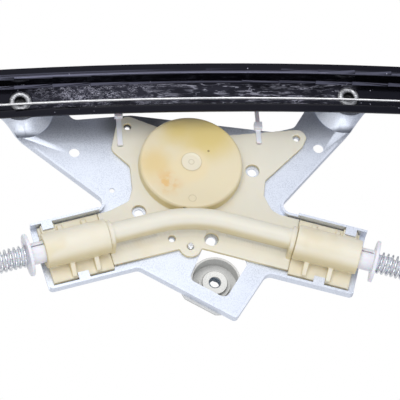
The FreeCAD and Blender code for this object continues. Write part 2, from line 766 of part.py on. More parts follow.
def make_conduit_bush(side):
    """Flanged bush whose split stem slides into the spring cup."""
    name = side_name(side) + "_conduit_bush"
    inner = mouth(side) + " - stem_depth"
    face = mouth(side) + " + flange_gap"
    bore = "sleeve_radius + seat_gap"
    collar = "spring_radius - spring_wire - 0.6"
    corners = [(bore, inner), ("stem_radius", inner), ("stem_radius", face), ("flange_radius", face),
               ("flange_radius", face + " + flange_thickness"), (collar, face + " + flange_thickness"),
               (collar, face + " + flange_thickness + 9"), (bore, face + " + flange_thickness + 9")]
    body = turned_along(name + "_turned", along_profile(side, corners))
    slot_z = inner + " - 1" if side > 0 else "-(" + face + " - 0.8)"
    slot = block(name + "_slot", "1.6", slot_z, "3", "0.9", "stem_depth + flange_gap + 0.2", "6")
    keep(on_tube_axis(cut(name + "_cut", body, [slot]), side), name)


def spring_start(side):
    return mouth(side) + " + flange_gap + flange_thickness"


def make_tension_spring(side):
    """Round-wire compression spring as a helix of straight facets."""
    name = side_name(side) + "_tension_spring"
    start = size(reach(side)) - size("mouth_recess") + size("flange_gap") + size("flange_thickness")
    wire = size("spring_wire") / 2
    middle = size("spring_radius") - wire
    length = size("spring_length") - 2 * wire
    steps = int(round(size("spring_turns"))) * spring_steps
    rings = []
    for step in range(steps + 1):
        angle = 2 * math.pi * step / spring_steps
        z = start + wire + length * step / steps
        out = FreeCAD.Vector(math.cos(angle), math.sin(angle), 0)
        centre = out * middle + FreeCAD.Vector(0, 0, z)
        up = FreeCAD.Vector(0, 0, 1)
        rings.append([centre + out * wire, centre + up * wire, centre - out * wire, centre - up * wire])
    faces = [Part.Face(Part.makePolygon(rings[0] + rings[0][:1])),
             Part.Face(Part.makePolygon(rings[-1] + rings[-1][:1]))]
    for low, high in zip(rings, rings[1:]):
        for i in range(4):
            a, b, c, d = low[i], low[(i + 1) % 4], high[(i + 1) % 4], high[i]
            faces.append(Part.Face(Part.makePolygon([a, b, c, a])))
            faces.append(Part.Face(Part.makePolygon([a, c, d, a])))
    coil = Part.makeSolid(Part.makeShell(faces))
    if coil.Volume < 0:
        coil.reverse()
    if side < 0:
        coil = coil.rotated(FreeCAD.Vector(), FreeCAD.Vector(1, 0, 0), 180)
    spring = doc.addObject("Part::Feature", name + "_coil")
    spring.Shape = coil
    keep(on_tube_axis(spring, side), name)


def make_conduit_sleeve(side):
    """Nylon end of the conduit: it runs through the spring and carries the spring's outer seat."""
    name = side_name(side) + "_conduit_sleeve"
    inner = mouth(side) + " - 6"
    seat = spring_start(side) + " + spring_length"
    corners = [("cable_radius + 0.4", inner), ("sleeve_radius", inner), ("sleeve_radius", seat + " - 5"),
               ("spring_radius - spring_wire - 0.6", seat + " - 5"), ("spring_radius - spring_wire - 0.6", seat),
               ("spring_radius + 1.2", seat), ("spring_radius + 1.2", seat + " + 2.4"),
               ("sleeve_radius + 0.9", seat + " + 2.4"), ("sleeve_radius + 0.9", seat + " + sleeve_tail"),
               ("conduit_radius + seat_gap", seat + " + sleeve_tail"), ("conduit_radius + seat_gap", seat + " + 4"),
               ("cable_radius + 0.4", seat + " + 4")]
    keep(on_tube_axis(turned_along(name + "_turned", along_profile(side, corners)), side), name)


def tube_point(side, along):
    """Row position of a point on a tube's axis."""
    angle = math.radians(size("upper_angle" if side > 0 else "lower_angle"))
    return FreeCAD.Vector(size("vertex_x") - along * math.sin(angle), -size("tube_height"),
                          size("vertex_z") + side * along * math.cos(angle))


def rail_point(side, x, height, z, seat):
    """Row position of a point given in a frame that is seated on the rail, z away from mid rail."""
    centre = size("rail_radius") - size("rail_stand")
    tilt = math.asin(seat / size("rail_radius"))
    y = -height - centre
    return FreeCAD.Vector(x, centre + y * math.cos(tilt) + z * math.sin(tilt),
                          side * (z * math.cos(tilt) - y * math.sin(tilt)))


def rounded_wire(points, shares):
    """Straight runs joined by tangent arcs, each taking a share of its shorter run."""
    edges = []
    last = points[0]
    for before, corner, after, share in zip(points, points[1:], points[2:], shares):
        trim = share * min((before - corner).Length, (after - corner).Length)
        back = (before - corner).normalize()
        ahead = (after - corner).normalize()
        half = back.getAngle(ahead) / 2
        radius = trim * math.tan(half)
        print("bend radius", round(radius, 1))
        start = corner + back * trim
        end = corner + ahead * trim
        middle = (back + ahead).normalize()
        crown = corner + middle * (radius / math.sin(half) - radius)
        edges.append(Part.LineSegment(last, start).toShape())
        edges.append(Part.Arc(start, crown, end).toShape())
        last = end
    edges.append(Part.LineSegment(last, points[-1]).toShape())
    return Part.Wire(edges)


def swept_rod(wire, radius, sides):
    """Many-sided rod along a wire of tangent runs, checked against section times length."""
    first = wire.OrderedEdges[0]
    start = first.valueAt(first.FirstParameter)
    turned = FreeCAD.Rotation(FreeCAD.Vector(0, 0, 1), first.tangentAt(first.FirstParameter))
    ring = []
    for corner in range(sides + 1):
        angle = 2 * math.pi * corner / sides
        ring.append(start + turned.multVec(FreeCAD.Vector(radius * math.cos(angle), radius * math.sin(angle), 0)))
    section = Part.makePolygon(ring)
    rod_shape = wire.makePipeShell([section], True, True)
    expected = Part.Face(section).Area * wire.Length
    if abs(rod_shape.Volume - expected) > 0.02 * expected:
        raise RuntimeError("swept rod has the wrong volume")
    return rod_shape


def cable_level():
    return size("rail_stand") + size("rail_gauge") + size("cable_stand")


def pulley_place():
    return size("rail_half_length") + size("pulley_past")


def sleeve_seat(side):
    """Distance along a tube's axis of the spring's outer seat."""
    spring_foot = size(reach(side)) - size("mouth_recess") + size("flange_gap") + size("flange_thickness")
    return spring_foot + size("spring_length")


def conduit_route(side):
    """Conduit from its sleeve round to the deflector's socket."""
    start_along = sleeve_seat(side) + 4.1
    start = tube_point(side, start_along)
    end = rail_point(side, socket_x, cable_level(), size("pulley_pitch"), pulley_place())
    corner = end - FreeCAD.Vector(size("conduit_tail"), 0, 0)
    lead = tube_point(side, start_along + lead_share * (corner - start).Length)
    return rounded_wire([start, lead, corner, end], conduit_shares)


def make_conduit(side):
    name = side_name(side) + "_conduit"
    tube = doc.addObject("Part::Feature", name + "_tube")
    tube.Shape = swept_rod(conduit_route(side), size("conduit_radius"), conduit_sides)
    keep(tube, name)


def make_cable(side):
    """Drive cable where it is in the open: drum to sleeve, and conduit end to carrier."""
    name = side_name(side) + "_cable"
    radius = size("cable_radius")
    on_drum, on_axis = cable_run(side)
    on_drum += (on_axis - on_drum).normalize() * clear_of_windings
    inner_end = tube_point(side, sleeve_seat(side) + 3.5)
    inside = swept_rod(rounded_wire([on_drum, on_axis, inner_end], cable_shares), radius, cable_sides)
    level = cable_level()
    x = size("rail_x") - size("cable_offset")
    pitch = size("pulley_pitch")
    hub = x - pitch
    seat = pulley_place()
    from_socket = rail_point(side, socket_x + 0.2, level, pitch, seat)
    over = rail_point(side, hub, level, pitch, seat)
    bend = rail_point(side, hub + pitch * math.sin(math.pi / 4), level, pitch * math.cos(math.pi / 4), seat)
    down = rail_point(side, x, level, 0, seat)
    rest = size("rail_half_length") - size("stop_room") - size("carrier_length") / 2
    last = size("carrier_length") / 2 + 0.3 - side * rest
    middle = rail_point(side, x, level, 0, (seat + last) / 2)
    edges = [Part.LineSegment(from_socket, over).toShape(), Part.Arc(over, bend, down).toShape(),
             Part.Arc(down, middle, rail_point(side, x, level, 0, last)).toShape()]
    outside = swept_rod(Part.Wire(edges), radius, cable_sides)
    pair = doc.addObject("Part::Feature", name + "_runs")
    pair.Shape = Part.makeCompound([inside, outside])
    keep(pair, name)


# cable drum and its windings

def make_cable_drum():
    """Grooved drum with a splined socket at the back and a hole for the pivot at the front."""
    rim = "drum_pitch + 1.6"
    groove = "drum_pitch - 1.1"
    pivot = "drum_pivot_radius + running_clearance"
    wall_end = "drum_low - socket_depth"
    relief_end = wall_end + " - socket_relief"
    corners = [("drum_bore", "drum_low"), ("12", "drum_low"), ("12", "0.6"), (rim, "0.6"), (rim, "-0.4"),
               (groove, "-0.4"), (groove, "-8.3"), (rim, "-8.3"), (rim, "-9"), (pivot, "-9"), (pivot, relief_end),
               ("drum_bore + 0.6", relief_end), ("drum_bore + 0.6", wall_end), ("drum_bore", wall_end)]
    turned = tube_of_revolution("drum_turned", corners)
    slots = []
    for number in range(5):
        slot = block("drum_spline_%d" % number, "drum_bore - 0.5", "-0.9", "-drum_low - 1", "1.9", "1.8",
                     "socket_depth + 1 + socket_relief")
        holder = hold("drum_spline_turned_%d" % number, [slot])
        holder.Placement = FreeCAD.Placement(FreeCAD.Vector(), FreeCAD.Rotation(FreeCAD.Vector(0, 1, 0), 72 * number))
        slots.append(holder)
    keep(cut("drum_splined", turned, slots), "cable_drum")


def ring_corners(radius, level):
    """Corners of a many-sided ring about the drum's axis."""
    corners = []
    for number in range(winding_sides):
        angle = 2 * math.pi * number / winding_sides
        corners.append(FreeCAD.Vector(radius * math.cos(angle), level, radius * math.sin(angle)))
    return corners


def winding(middle):
    """One turn of cable as a ring of four-sided section, many-sided round the drum."""
    radius = size("cable_radius")
    rings = [ring_corners(size("drum_pitch") + radius, middle), ring_corners(size("drum_pitch"), middle + radius),
             ring_corners(size("drum_pitch") - radius + 0.2, middle), ring_corners(size("drum_pitch"), middle - radius)]
    faces = []
    for low, high in zip(rings, rings[1:] + rings[:1]):
        for number in range(winding_sides):
            after = (number + 1) % winding_sides
            faces.append(Part.Face(Part.makePolygon([low[number], low[after], high[after], high[number],
                                                     low[number]])))
    turn_of_cable = Part.makeSolid(Part.makeShell(faces))
    if turn_of_cable.Volume < 0:
        turn_of_cable.reverse()
    return turn_of_cable


def make_drum_windings():
    step = 2 * size("cable_radius") + size("seat_gap")
    middle = (winding_turns - 1) / 2
    windings = doc.addObject("Part::Feature", "winding_set")
    windings.Shape = Part.makeCompound([winding(winding_level + (number - middle) * step)
                                        for number in range(winding_turns)])
    keep(windings, "drum_windings")


# deflectors at the rail's ends, made at mid rail and then seated

def make_deflector(side):
    """Moulded pulley carrier behind and around the pulley, with the conduit's socket."""
    name = side_name(side) + "_deflector"
    hub = hub_x
    low = "rail_stand - 4"
    under = cable_height + " - pulley_width / 2 - 0.3"
    tongue = "rail_x - channel_half_width - 0.2"
    items = [cylinder(name + "_round", hub, "0", "pulley_pitch + 5", low, "(" + under + ") - (" + low + ")")]
    items.append(block(name + "_tail", "rail_x - channel_half_width - 1",
                       "-17" if side > 0 else "-20", low, "2 * channel_half_width + 0.4", "37", "4 - tongue_gap"))
    wall = cylinder(name + "_wall", hub, "0", "pulley_pitch + 5", under, "pulley_width + 0.6")
    hollow = cylinder(name + "_hollow", hub, "0", "pulley_pitch + 2.8", under, "pulley_width + 0.7")
    items.append(cut(name + "_rim", wall, [hollow]))
    boss = doc.addObject("Part::Cylinder", name + "_socket")
    boss.Placement = FreeCAD.Placement(FreeCAD.Vector(), FreeCAD.Rotation(FreeCAD.Vector(0, 1, 0), 90))
    bind(boss, "Placement.Base.x", "-9")
    bind(boss, "Placement.Base.y", "-" + cable_height)
    bind(boss, "Placement.Base.z", along_side(side, "pulley_pitch"))
    bind(boss, "Radius", "6")
    bind(boss, "Height", "20")
    items.append(boss)
    solid = join(name + "_solid", items)
    tools = [block(name + "_tongue_way", tongue, "-30", "rail_stand - tongue_gap", "30", "60", "30")]
    ring = cylinder(name + "_pulley_way", hub, "0", "pulley_pitch + 2.8", under, "40")
    tools.append(ring)
    for label, start, radius, length in (("seat", "-12", "conduit_radius + 0.1", "9.2"),
                                         ("way", "-4", "cable_radius + 0.5", "30")):
        way = doc.addObject("Part::Cylinder", name + "_" + label)
        way.Placement = FreeCAD.Placement(FreeCAD.Vector(), FreeCAD.Rotation(FreeCAD.Vector(0, 1, 0), 90))
        bind(way, "Placement.Base.x", start)
        bind(way, "Placement.Base.y", "-" + cable_height)
        bind(way, "Placement.Base.z", along_side(side, "pulley_pitch"))
        bind(way, "Radius", radius)
        bind(way, "Height", length)
        tools.append(way)
    top = cable_height + " + pulley_width / 2 + 0.3"
    tools.append(cylinder(name + "_cover_way", hub, "0", "pulley_pitch + 5.3", top, "9"))
    tools.append(cylinder(name + "_pin_way", hub, "0", "pin_radius + 0.05", "0", "60"))
    tools.append(cylinder(name + "_bolt_way", "rail_x + 4", along_side(side, "end_hole_past - pulley_past"),
                          "end_hole_radius", "0", "60"))
    keep(seat_on_rail(cut(name + "_cut", solid, tools), along_side(side, pulley_z)), name)


def make_deflector_cover(side):
    """Sheet cover over the pulley, held by the pulley's pin."""
    name = side_name(side) + "_deflector_cover"
    top = cable_height + " + pulley_width / 2 + 0.3"
    disc = cylinder(name + "_disc", hub_x, "0", "pulley_pitch + 5", top, "1.5")
    hole = cylinder(name + "_hole", hub_x, "0", "pin_radius + 0.05", top, "3")
    keep(seat_on_rail(cut(name + "_cut", disc, [hole]), along_side(side, pulley_z)), name)


def make_pulley(side):
    name = side_name(side) + "_pulley"
    half = "pulley_width / 2"
    bore = "pin_radius + running_clearance"
    rim = "pulley_pitch + 1.8"
    groove = "pulley_pitch - cable_radius - 0.2"
    corners = [(bore, "-(%s)" % half), (rim, "-(%s)" % half), (rim, "-cable_radius - 0.6"),
               (groove, "-cable_radius - 0.2"), (groove, "cable_radius + 0.2"), (rim, "cable_radius + 0.6"),
               (rim, half), (bore, half)]
    body = tube_of_revolution(name + "_turned", corners)
    bind(body, "Placement.Base.x", hub_x)
    bind(body, "Placement.Base.y", "-" + cable_height)
    keep(seat_on_rail(hold(name + "_seated", [body]), along_side(side, pulley_z)), name)


def make_pulley_pin(side):
    name = side_name(side) + "_pulley_pin"
    low = "rail_stand - 4"
    top = cable_height + " + pulley_width / 2 + 1.8"
    shank = cylinder(name + "_shank", hub_x, "0", "pin_radius", low, "(" + top + ") - (" + low + ")")
    head = cylinder(name + "_head", hub_x, "0", "pin_radius + 1.8", top, "1.4")
    tail = cylinder(name + "_tail", hub_x, "0", "pin_radius + 1.2", low + " - 1", "1")
    keep(seat_on_rail(join(name + "_whole", [shank, head, tail]), along_side(side, pulley_z)), name)


def make_stop(side):
    """Rubber buffer in the channel that the carrier meets at the end of its travel."""
    name = side_name(side) + "_stop"
    pad = block(name + "_pad", "rail_x + 1.5", "-1.2", "rail_stand + rail_gauge + seat_gap",
                "channel_half_width - bend_radius - 1.8", "2.4", "9")
    keep(seat_on_rail(hold(name + "_seated", [pad]), along_side(side, "rail_half_length - 1.4")), name)


# glass carrier: a shoe on the rail's lips with a clamp for the glass

def lip_slot():
    """Curved slot that clears the rail's lips, bent about the same centre as the rail."""
    body = new_body("lip_slot")
    sketch = new_sketch(body, "lip_slot_profile", "XY_Plane")
    low = "-(rail_stand + rail_depth - rail_gauge) + lip_clearance"
    high = "-(rail_stand + rail_depth) - lip_clearance"
    near = "(channel_half_width - 1.2)"
    far = "(rail_half_width + lip_clearance)"
    for sign in (" + ", " - "):
        draw_outline(sketch, [("rail_x" + sign + near, low), ("rail_x" + sign + near, high),
                              ("rail_x" + sign + far, high), ("rail_x" + sign + far, low)])
    bend_about_rail_centre(body, "lip_slot_bend", sketch, "3 * asin(carrier_length / rail_radius) / 2")
    return body


def make_glass_carrier():
    half = "carrier_length / 2"
    front = jaw_low
    shoe = block("shoe", "rail_x - rail_half_width - 3.5", "-" + half, "rail_stand + rail_depth - 4",
                 "2 * rail_half_width + 7", "carrier_length", front + " - (rail_stand + rail_depth - 4)")
    key = block("shoe_key", "rail_x - channel_half_width + 1.2", "-" + half,
                "rail_stand + rail_gauge + 2", "2 * channel_half_width - 2.4", "carrier_length", "12")
    jaw = block("fixed_jaw", "rail_x - 32", "-22", front, "64", "54", "4")
    ledge = block("jaw_ledge", "rail_x - 32", "-22", jaw_face, "64", "14", slot_depth)
    solid = join("carrier_solid", [shoe, key, jaw, ledge])
    tools = [lip_slot()]
    for number, across in enumerate(("rail_x + channel_half_width - 1.2", "rail_x - channel_half_width - 2.2")):
        tools.append(block("wall_way_%d" % number, across, "-carrier_length", "0", "3.4", "2 * carrier_length",
                           "rail_stand + rail_depth + lip_clearance"))
    tools.append(block("cable_way", "rail_x - cable_offset - 1.5", "-carrier_length", "0", "3",
                       "2 * carrier_length", cable_height + " + 1.6"))
    for number, end in enumerate((half + " - 7", "-" + half)):
        tools.append(block("nipple_pocket_%d" % number, "rail_x - cable_offset - nipple_radius - 0.3", end, "0",
                           "2 * nipple_radius + 0.6", "7", cable_height + " + nipple_radius + 0.4"))
    for number, x in enumerate(("rail_x - 20", "rail_x + 20")):
        tools.append(cylinder("clamp_bolt_way_%d" % number, x, "-15", "2.5", front, "20"))
    keep(seat_on_rail(cut("carrier_cut", solid, tools), carrier_rest), "glass_carrier")


def make_cable_nipples():
    pair = []
    across = "rail_x - cable_offset"
    for number, z in enumerate(("carrier_length / 2 - 6.4", "-carrier_length / 2 + 0.4")):
        sleeve = rod("nipple_sleeve_%d" % number, across, cable_height, "nipple_radius", z, "6")
        hole = rod("nipple_hole_%d" % number, across, cable_height, "cable_radius + 0.4", z + " - 1", "8")
        pair.append(cut("nipple_%d" % number, sleeve, [hole]))
    keep(seat_on_rail(hold("nipple_pair", pair), carrier_rest), "cable_nipples")


def make_glass_pads():
    faces = [block("inner_glass_pad", "rail_x - 31", "-7.6", jaw_face, "62", "39", "pad_thickness"),
             block("outer_glass_pad", "rail_x - 31", "-7.6", jaw_face + " + glass_gap + pad_thickness", "62", "39",
                   "pad_thickness")]
    keep(seat_on_rail(hold("pad_pair", faces), carrier_rest), "glass_pads")


def make_clamp_plate():
    plate = block("clamp_blank", "rail_x - 32", "-22", jaw_face + " + " + slot_depth, "64", "54", "2.5")
    holes = [cylinder("clamp_hole_%d" % i, x, "-15", "2.6", "0", "80")
             for i, x in enumerate(("rail_x - 20", "rail_x + 20"))]
    keep(seat_on_rail(cut("clamp_cut", plate, holes), carrier_rest), "clamp_plate")


def make_clamp_bolts():
    bolts = []
    top = jaw_face + " + " + slot_depth + " + 2.5"
    for number, x in enumerate(("rail_x - 20", "rail_x + 20")):
        head = cylinder("clamp_head_%d" % number, x, "-15", "4.8", top, "3.2")
        shank = cylinder("clamp_shank_%d" % number, x, "-15", "2.45", jaw_low + " + 1",
                         "(" + top + ") - (" + jaw_low + ") - 1")
        recess = cylinder("clamp_recess_%d" % number, x, "-15", "2", top + " + 1.2", "3")
        bolts.append(cut("clamp_bolt_%d" % number, join("clamp_bolt_solid_%d" % number, [head, shank]), [recess]))
    keep(seat_on_rail(hold("clamp_bolt_pair", bolts), carrier_rest), "clamp_bolts")


# small parts on the plate

def make_cable_tie(side, edge_x, head_x, tail_end):
    """Strap looped through the slot and round the plate's edge, with its head and tail."""
    name = side_name(side) + "_cable_tie"
    z = tie_slots[0][1] if side > 0 else tie_slots[1][1]
    start = z + " - 1.5"
    top = "plate_gauge + base_thickness + seat_gap"
    items = [block(name + "_front", "15.6", start, top, edge_x + " + 1.1 - 15.6", "3", "1.1")]
    items.append(block(name + "_back", "15.6", start, "-seat_gap - 1.1", edge_x + " + 1.1 - 15.6", "3", "1.1"))
    for label, x in (("slot", "15.6"), ("edge", edge_x)):
        items.append(block(name + "_" + label, x, start, "-seat_gap - 1.1", "1.1", "3",
                           top + " + 1.1 + seat_gap + 1.1"))
    items.append(block(name + "_head", head_x, z + " - 2.4", top, "4.4", "4.8", "4"))
    items.append(block(name + "_tail", head_x, z + " - 1.3", top + " + 1.8", tail_end + " - (" + head_x + ")",
                       "2.6", "1.1"))
    keep(join(name + "_loop", items), name)


def make_rear_bracket():
    """Round dish behind the plate's window, with a flat along the plate's edge."""
    floor = "bracket_depth - 2.6"
    corners = [("6.2", floor), ("9.4", floor), ("9.4", "bracket_depth"), ("13.6", "bracket_depth"), ("13.6", "0"),
               ("bracket_rim", "0"), ("bracket_rim", "1.2"), ("14.8", "1.2"), ("14.8", "bracket_depth + 1.2"),
               ("8.2", "bracket_depth + 1.2"), ("8.2", floor + " + 1.2"), ("6.2", floor + " + 1.2")]
    dish = tube_of_revolution("rear_bracket_turned", corners)
    beyond = block("rear_bracket_flat", "bracket_flat", "-30", "-5", "20", "60", "10")
    flat = hold("rear_bracket_flat_turned", [beyond])
    flat.Placement = FreeCAD.Placement(FreeCAD.Vector(), FreeCAD.Rotation(FreeCAD.Vector(0, 1, 0), flat_turn))
    bracket = cut("rear_bracket_cut", dish, [flat])
    bind(bracket, "Placement.Base.x", "bracket_x")
    bind(bracket, "Placement.Base.z", "bracket_z")
    keep(bracket, "rear_bracket")


def make_weld_nut():
    floor = "bracket_depth - 2.6"
    corners = [("thread_radius", floor + " + 3"), ("6.1", floor + " + 3"), ("6.1", floor), ("7.6", floor),
               ("7.6", floor + " - 2.2"), ("thread_radius", floor + " - 2.2")]
    body = tube_of_revolution("weld_nut_turned", corners)
    bind(body, "Placement.Base.x", "bracket_x")
    bind(body, "Placement.Base.z", "bracket_z")
    keep(body, "weld_nut")


def make_locating_pin():
    radius = "locating_pin_radius - 0.05"
    end = "-plate_gauge - base_thickness - 1.2"
    corners = [("0", "1.6"), (radius, "1.6"), (radius, end + " + 0.4"), ("1.5", end), ("0", end)]
    body = tube_of_revolution("locating_pin_turned", corners)
    bind(body, "Placement.Base.x", "-52.4")
    bind(body, "Placement.Base.z", "3.6")
    keep(body, "locating_pin")


make_drum_plate()
make_guide_rail()
make_rail_rivets()
make_drum_housing()
make_cable_drum()
make_drum_windings()
for side in (1, -1):
    make_spring_cup(side)
    make_conduit_bush(side)
    make_tension_spring(side)
    make_conduit_sleeve(side)
    make_conduit(side)
    make_cable(side)
    make_deflector(side)
    make_deflector_cover(side)
    make_pulley(side)
    make_pulley_pin(side)
    make_stop(side)
make_glass_carrier()
make_cable_nipples()
make_glass_pads()
make_clamp_plate()
make_clamp_bolts()
make_cable_tie(1, "37.9", "33.8", "46")
make_cable_tie(-1, "27.1", "24.2", "40")
make_rear_bracket()
make_weld_nut()
make_locating_pin()

doc.recompute()
failed = [item.Name for item in doc.Objects if "Invalid" in item.State or "Error" in item.State]
if failed:
    raise RuntimeError("objects failed: " + ", ".join(failed))
os.makedirs("parts", exist_ok=True)
for item in sub_parts:
    shape = item.Shape
    if shape.isNull() or not shape.isValid():
        raise RuntimeError("bad shape: " + item.Label)
    shape.exportStep("parts/%s.step" % item.Label)
    print(item.Label, len(shape.Solids), round(shape.Volume, 1))
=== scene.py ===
import json
import math

import bmesh
import bpy
from mathutils import Matrix, Vector


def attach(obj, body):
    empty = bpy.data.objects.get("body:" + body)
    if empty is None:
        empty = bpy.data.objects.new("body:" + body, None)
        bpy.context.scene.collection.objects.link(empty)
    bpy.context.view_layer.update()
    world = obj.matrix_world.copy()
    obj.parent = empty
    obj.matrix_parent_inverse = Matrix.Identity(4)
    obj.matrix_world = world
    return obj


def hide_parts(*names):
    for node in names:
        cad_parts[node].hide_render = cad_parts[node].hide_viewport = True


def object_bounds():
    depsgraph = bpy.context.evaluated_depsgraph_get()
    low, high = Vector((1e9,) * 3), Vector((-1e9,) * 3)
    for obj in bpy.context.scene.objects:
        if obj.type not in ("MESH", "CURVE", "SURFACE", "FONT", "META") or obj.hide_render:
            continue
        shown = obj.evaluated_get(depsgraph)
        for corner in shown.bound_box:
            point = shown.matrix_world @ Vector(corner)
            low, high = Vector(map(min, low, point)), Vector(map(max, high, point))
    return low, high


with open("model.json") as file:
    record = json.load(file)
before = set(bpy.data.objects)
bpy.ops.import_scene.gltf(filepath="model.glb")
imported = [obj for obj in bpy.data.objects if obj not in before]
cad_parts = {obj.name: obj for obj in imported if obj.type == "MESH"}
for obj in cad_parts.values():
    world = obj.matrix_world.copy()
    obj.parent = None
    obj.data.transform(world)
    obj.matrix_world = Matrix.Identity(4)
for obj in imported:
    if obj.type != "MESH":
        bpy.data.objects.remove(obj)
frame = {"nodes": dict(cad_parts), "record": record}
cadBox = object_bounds()
mm = 0.001


# camera: the photograph looks down on the glass side, from the drum's side of the rail
photoView = {"place": (-583, -1101.5, 160), "target": (0, -1.5, 0), "roll": 1.0,
             "lens": 188.28, "shift": (0.02625, -0.07625)}


def makeCamera():
    place = Vector(photoView["place"]) * mm
    back = (place - Vector(photoView["target"]) * mm).normalized()
    along = Vector((0, 0, -1))
    right = (along - back * along.dot(back)).normalized()
    up = back.cross(right)
    turn = math.radians(photoView["roll"])
    right, up = right * math.cos(turn) - up * math.sin(turn), right * math.sin(turn) + up * math.cos(turn)
    camera = bpy.data.objects.new("camera", bpy.data.cameras.new("camera"))
    bpy.context.scene.collection.objects.link(camera)
    camera.matrix_world = Matrix((right, up, back)).transposed().to_4x4()
    camera.location = place
    camera.data.lens = photoView["lens"]
    camera.data.shift_x, camera.data.shift_y = photoView["shift"]
    bpy.context.scene.camera = camera


makeCamera()


# node helpers shared by materials and geometry trees
def addNode(tree, kind, inputs=None, **settings):
    made = tree.nodes.new(kind)
    for key, value in settings.items():
        setattr(made, key, value)
    for key, value in (inputs or {}).items():
        if isinstance(value, bpy.types.NodeSocket):
            tree.links.new(value, made.inputs[key])
        else:
            made.inputs[key].default_value = value
    return made


def tone(text):
    parts = [int(text[i:i + 2], 16) / 255 for i in (1, 3, 5)]
    return tuple(c / 12.92 if c <= 0.04045 else ((c + 0.055) / 1.055) ** 2.4 for c in parts) + (1,)


def newMaterial(name, **fixed):
    material = bpy.data.materials.new(name)
    material.use_nodes = True
    tree = material.node_tree
    tree.nodes.clear()
    shader = addNode(tree, "ShaderNodeBsdfPrincipled")
    for key, value in fixed.items():
        shader.inputs[key.replace("_", " ")].default_value = value
    output = addNode(tree, "ShaderNodeOutputMaterial")
    tree.links.new(shader.outputs["BSDF"], output.inputs["Surface"])
    return material, tree, shader


def noiseOf(tree, size, stretch=(1, 1, 1), detail=3, rough=0.55, twist=0.0):
    place = addNode(tree, "ShaderNodeTexCoord").outputs["Object"]
    placed = addNode(tree, "ShaderNodeMapping", {"Vector": place, "Scale": stretch}).outputs[0]
    return addNode(tree, "ShaderNodeTexNoise", {"Vector": placed, "Scale": 1 / (size * mm), "Detail": detail,
                                                "Roughness": rough, "Distortion": twist}).outputs[0]


def ramp(tree, amount, low, high, start=0.0, end=1.0, smooth=True):
    return addNode(tree, "ShaderNodeMapRange", {"Value": amount, "From Min": low, "From Max": high,
                                                "To Min": start, "To Max": end},
                   interpolation_type="SMOOTHSTEP" if smooth else "LINEAR").outputs[0]


def mixTones(tree, amount, first, second, kind="MIX"):
    node = addNode(tree, "ShaderNodeMix", {0: amount, 6: first, 7: second}, data_type="RGBA", blend_type=kind)
    return node.outputs[2]


def maths(tree, kind, first, second=0.0):
    return addNode(tree, "ShaderNodeMath", {0: first, 1: second}, operation=kind).outputs[0]


def axisOf(tree, letter):
    place = addNode(tree, "ShaderNodeTexCoord").outputs["Object"]
    return addNode(tree, "ShaderNodeSeparateXYZ", {0: place}).outputs[letter]


def bandOf(tree, letter, low, high, soft):
    place = axisOf(tree, letter)
    rise = ramp(tree, place, (low - soft) * mm, (low + soft) * mm)
    fall = ramp(tree, place, (high - soft) * mm, (high + soft) * mm, 1.0, 0.0)
    return maths(tree, "MULTIPLY", rise, fall)


def awayFrom(tree, centre):
    place = addNode(tree, "ShaderNodeTexCoord").outputs["Object"]
    flat = addNode(tree, "ShaderNodeVectorMath", {0: place, 1: (1, 0, 1)}, operation="MULTIPLY").outputs[0]
    return addNode(tree, "ShaderNodeVectorMath", {0: flat, 1: (centre[0] * mm, 0, centre[1] * mm)},
                   operation="DISTANCE").outputs["Value"]


def spotOf(tree, centre, inner, outer, wobble=None):
    away = awayFrom(tree, centre)
    if wobble is not None:
        away = maths(tree, "ADD", away, ramp(tree, wobble, 0, 1, -4 * mm, 4 * mm, False))
    return ramp(tree, away, inner * mm, outer * mm, 1.0, 0.0)


def sideOf(tree, low, high):
    face = addNode(tree, "ShaderNodeTexCoord").outputs["Normal"]
    across = addNode(tree, "ShaderNodeSeparateXYZ", {0: face}).outputs["Y"]
    return ramp(tree, maths(tree, "ABSOLUTE", across), low, high, 1.0, 0.0)


def lineOf(tree, amount, width):
    off = maths(tree, "ABSOLUTE", maths(tree, "SUBTRACT", amount, 0.5))
    return ramp(tree, off, 0.0, width, 1.0, 0.0)


def ringOf(tree, centre, radius, width):
    off = maths(tree, "ABSOLUTE", maths(tree, "SUBTRACT", awayFrom(tree, centre), radius * mm))
    return ramp(tree, off, 0.0, width * mm, 1.0, 0.0)


def addBump(tree, shader, height, strength, depth):
    bump = addNode(tree, "ShaderNodeBump", {"Height": height, "Strength": strength, "Distance": depth * mm})
    tree.links.new(bump.outputs[0], shader.inputs["Normal"])


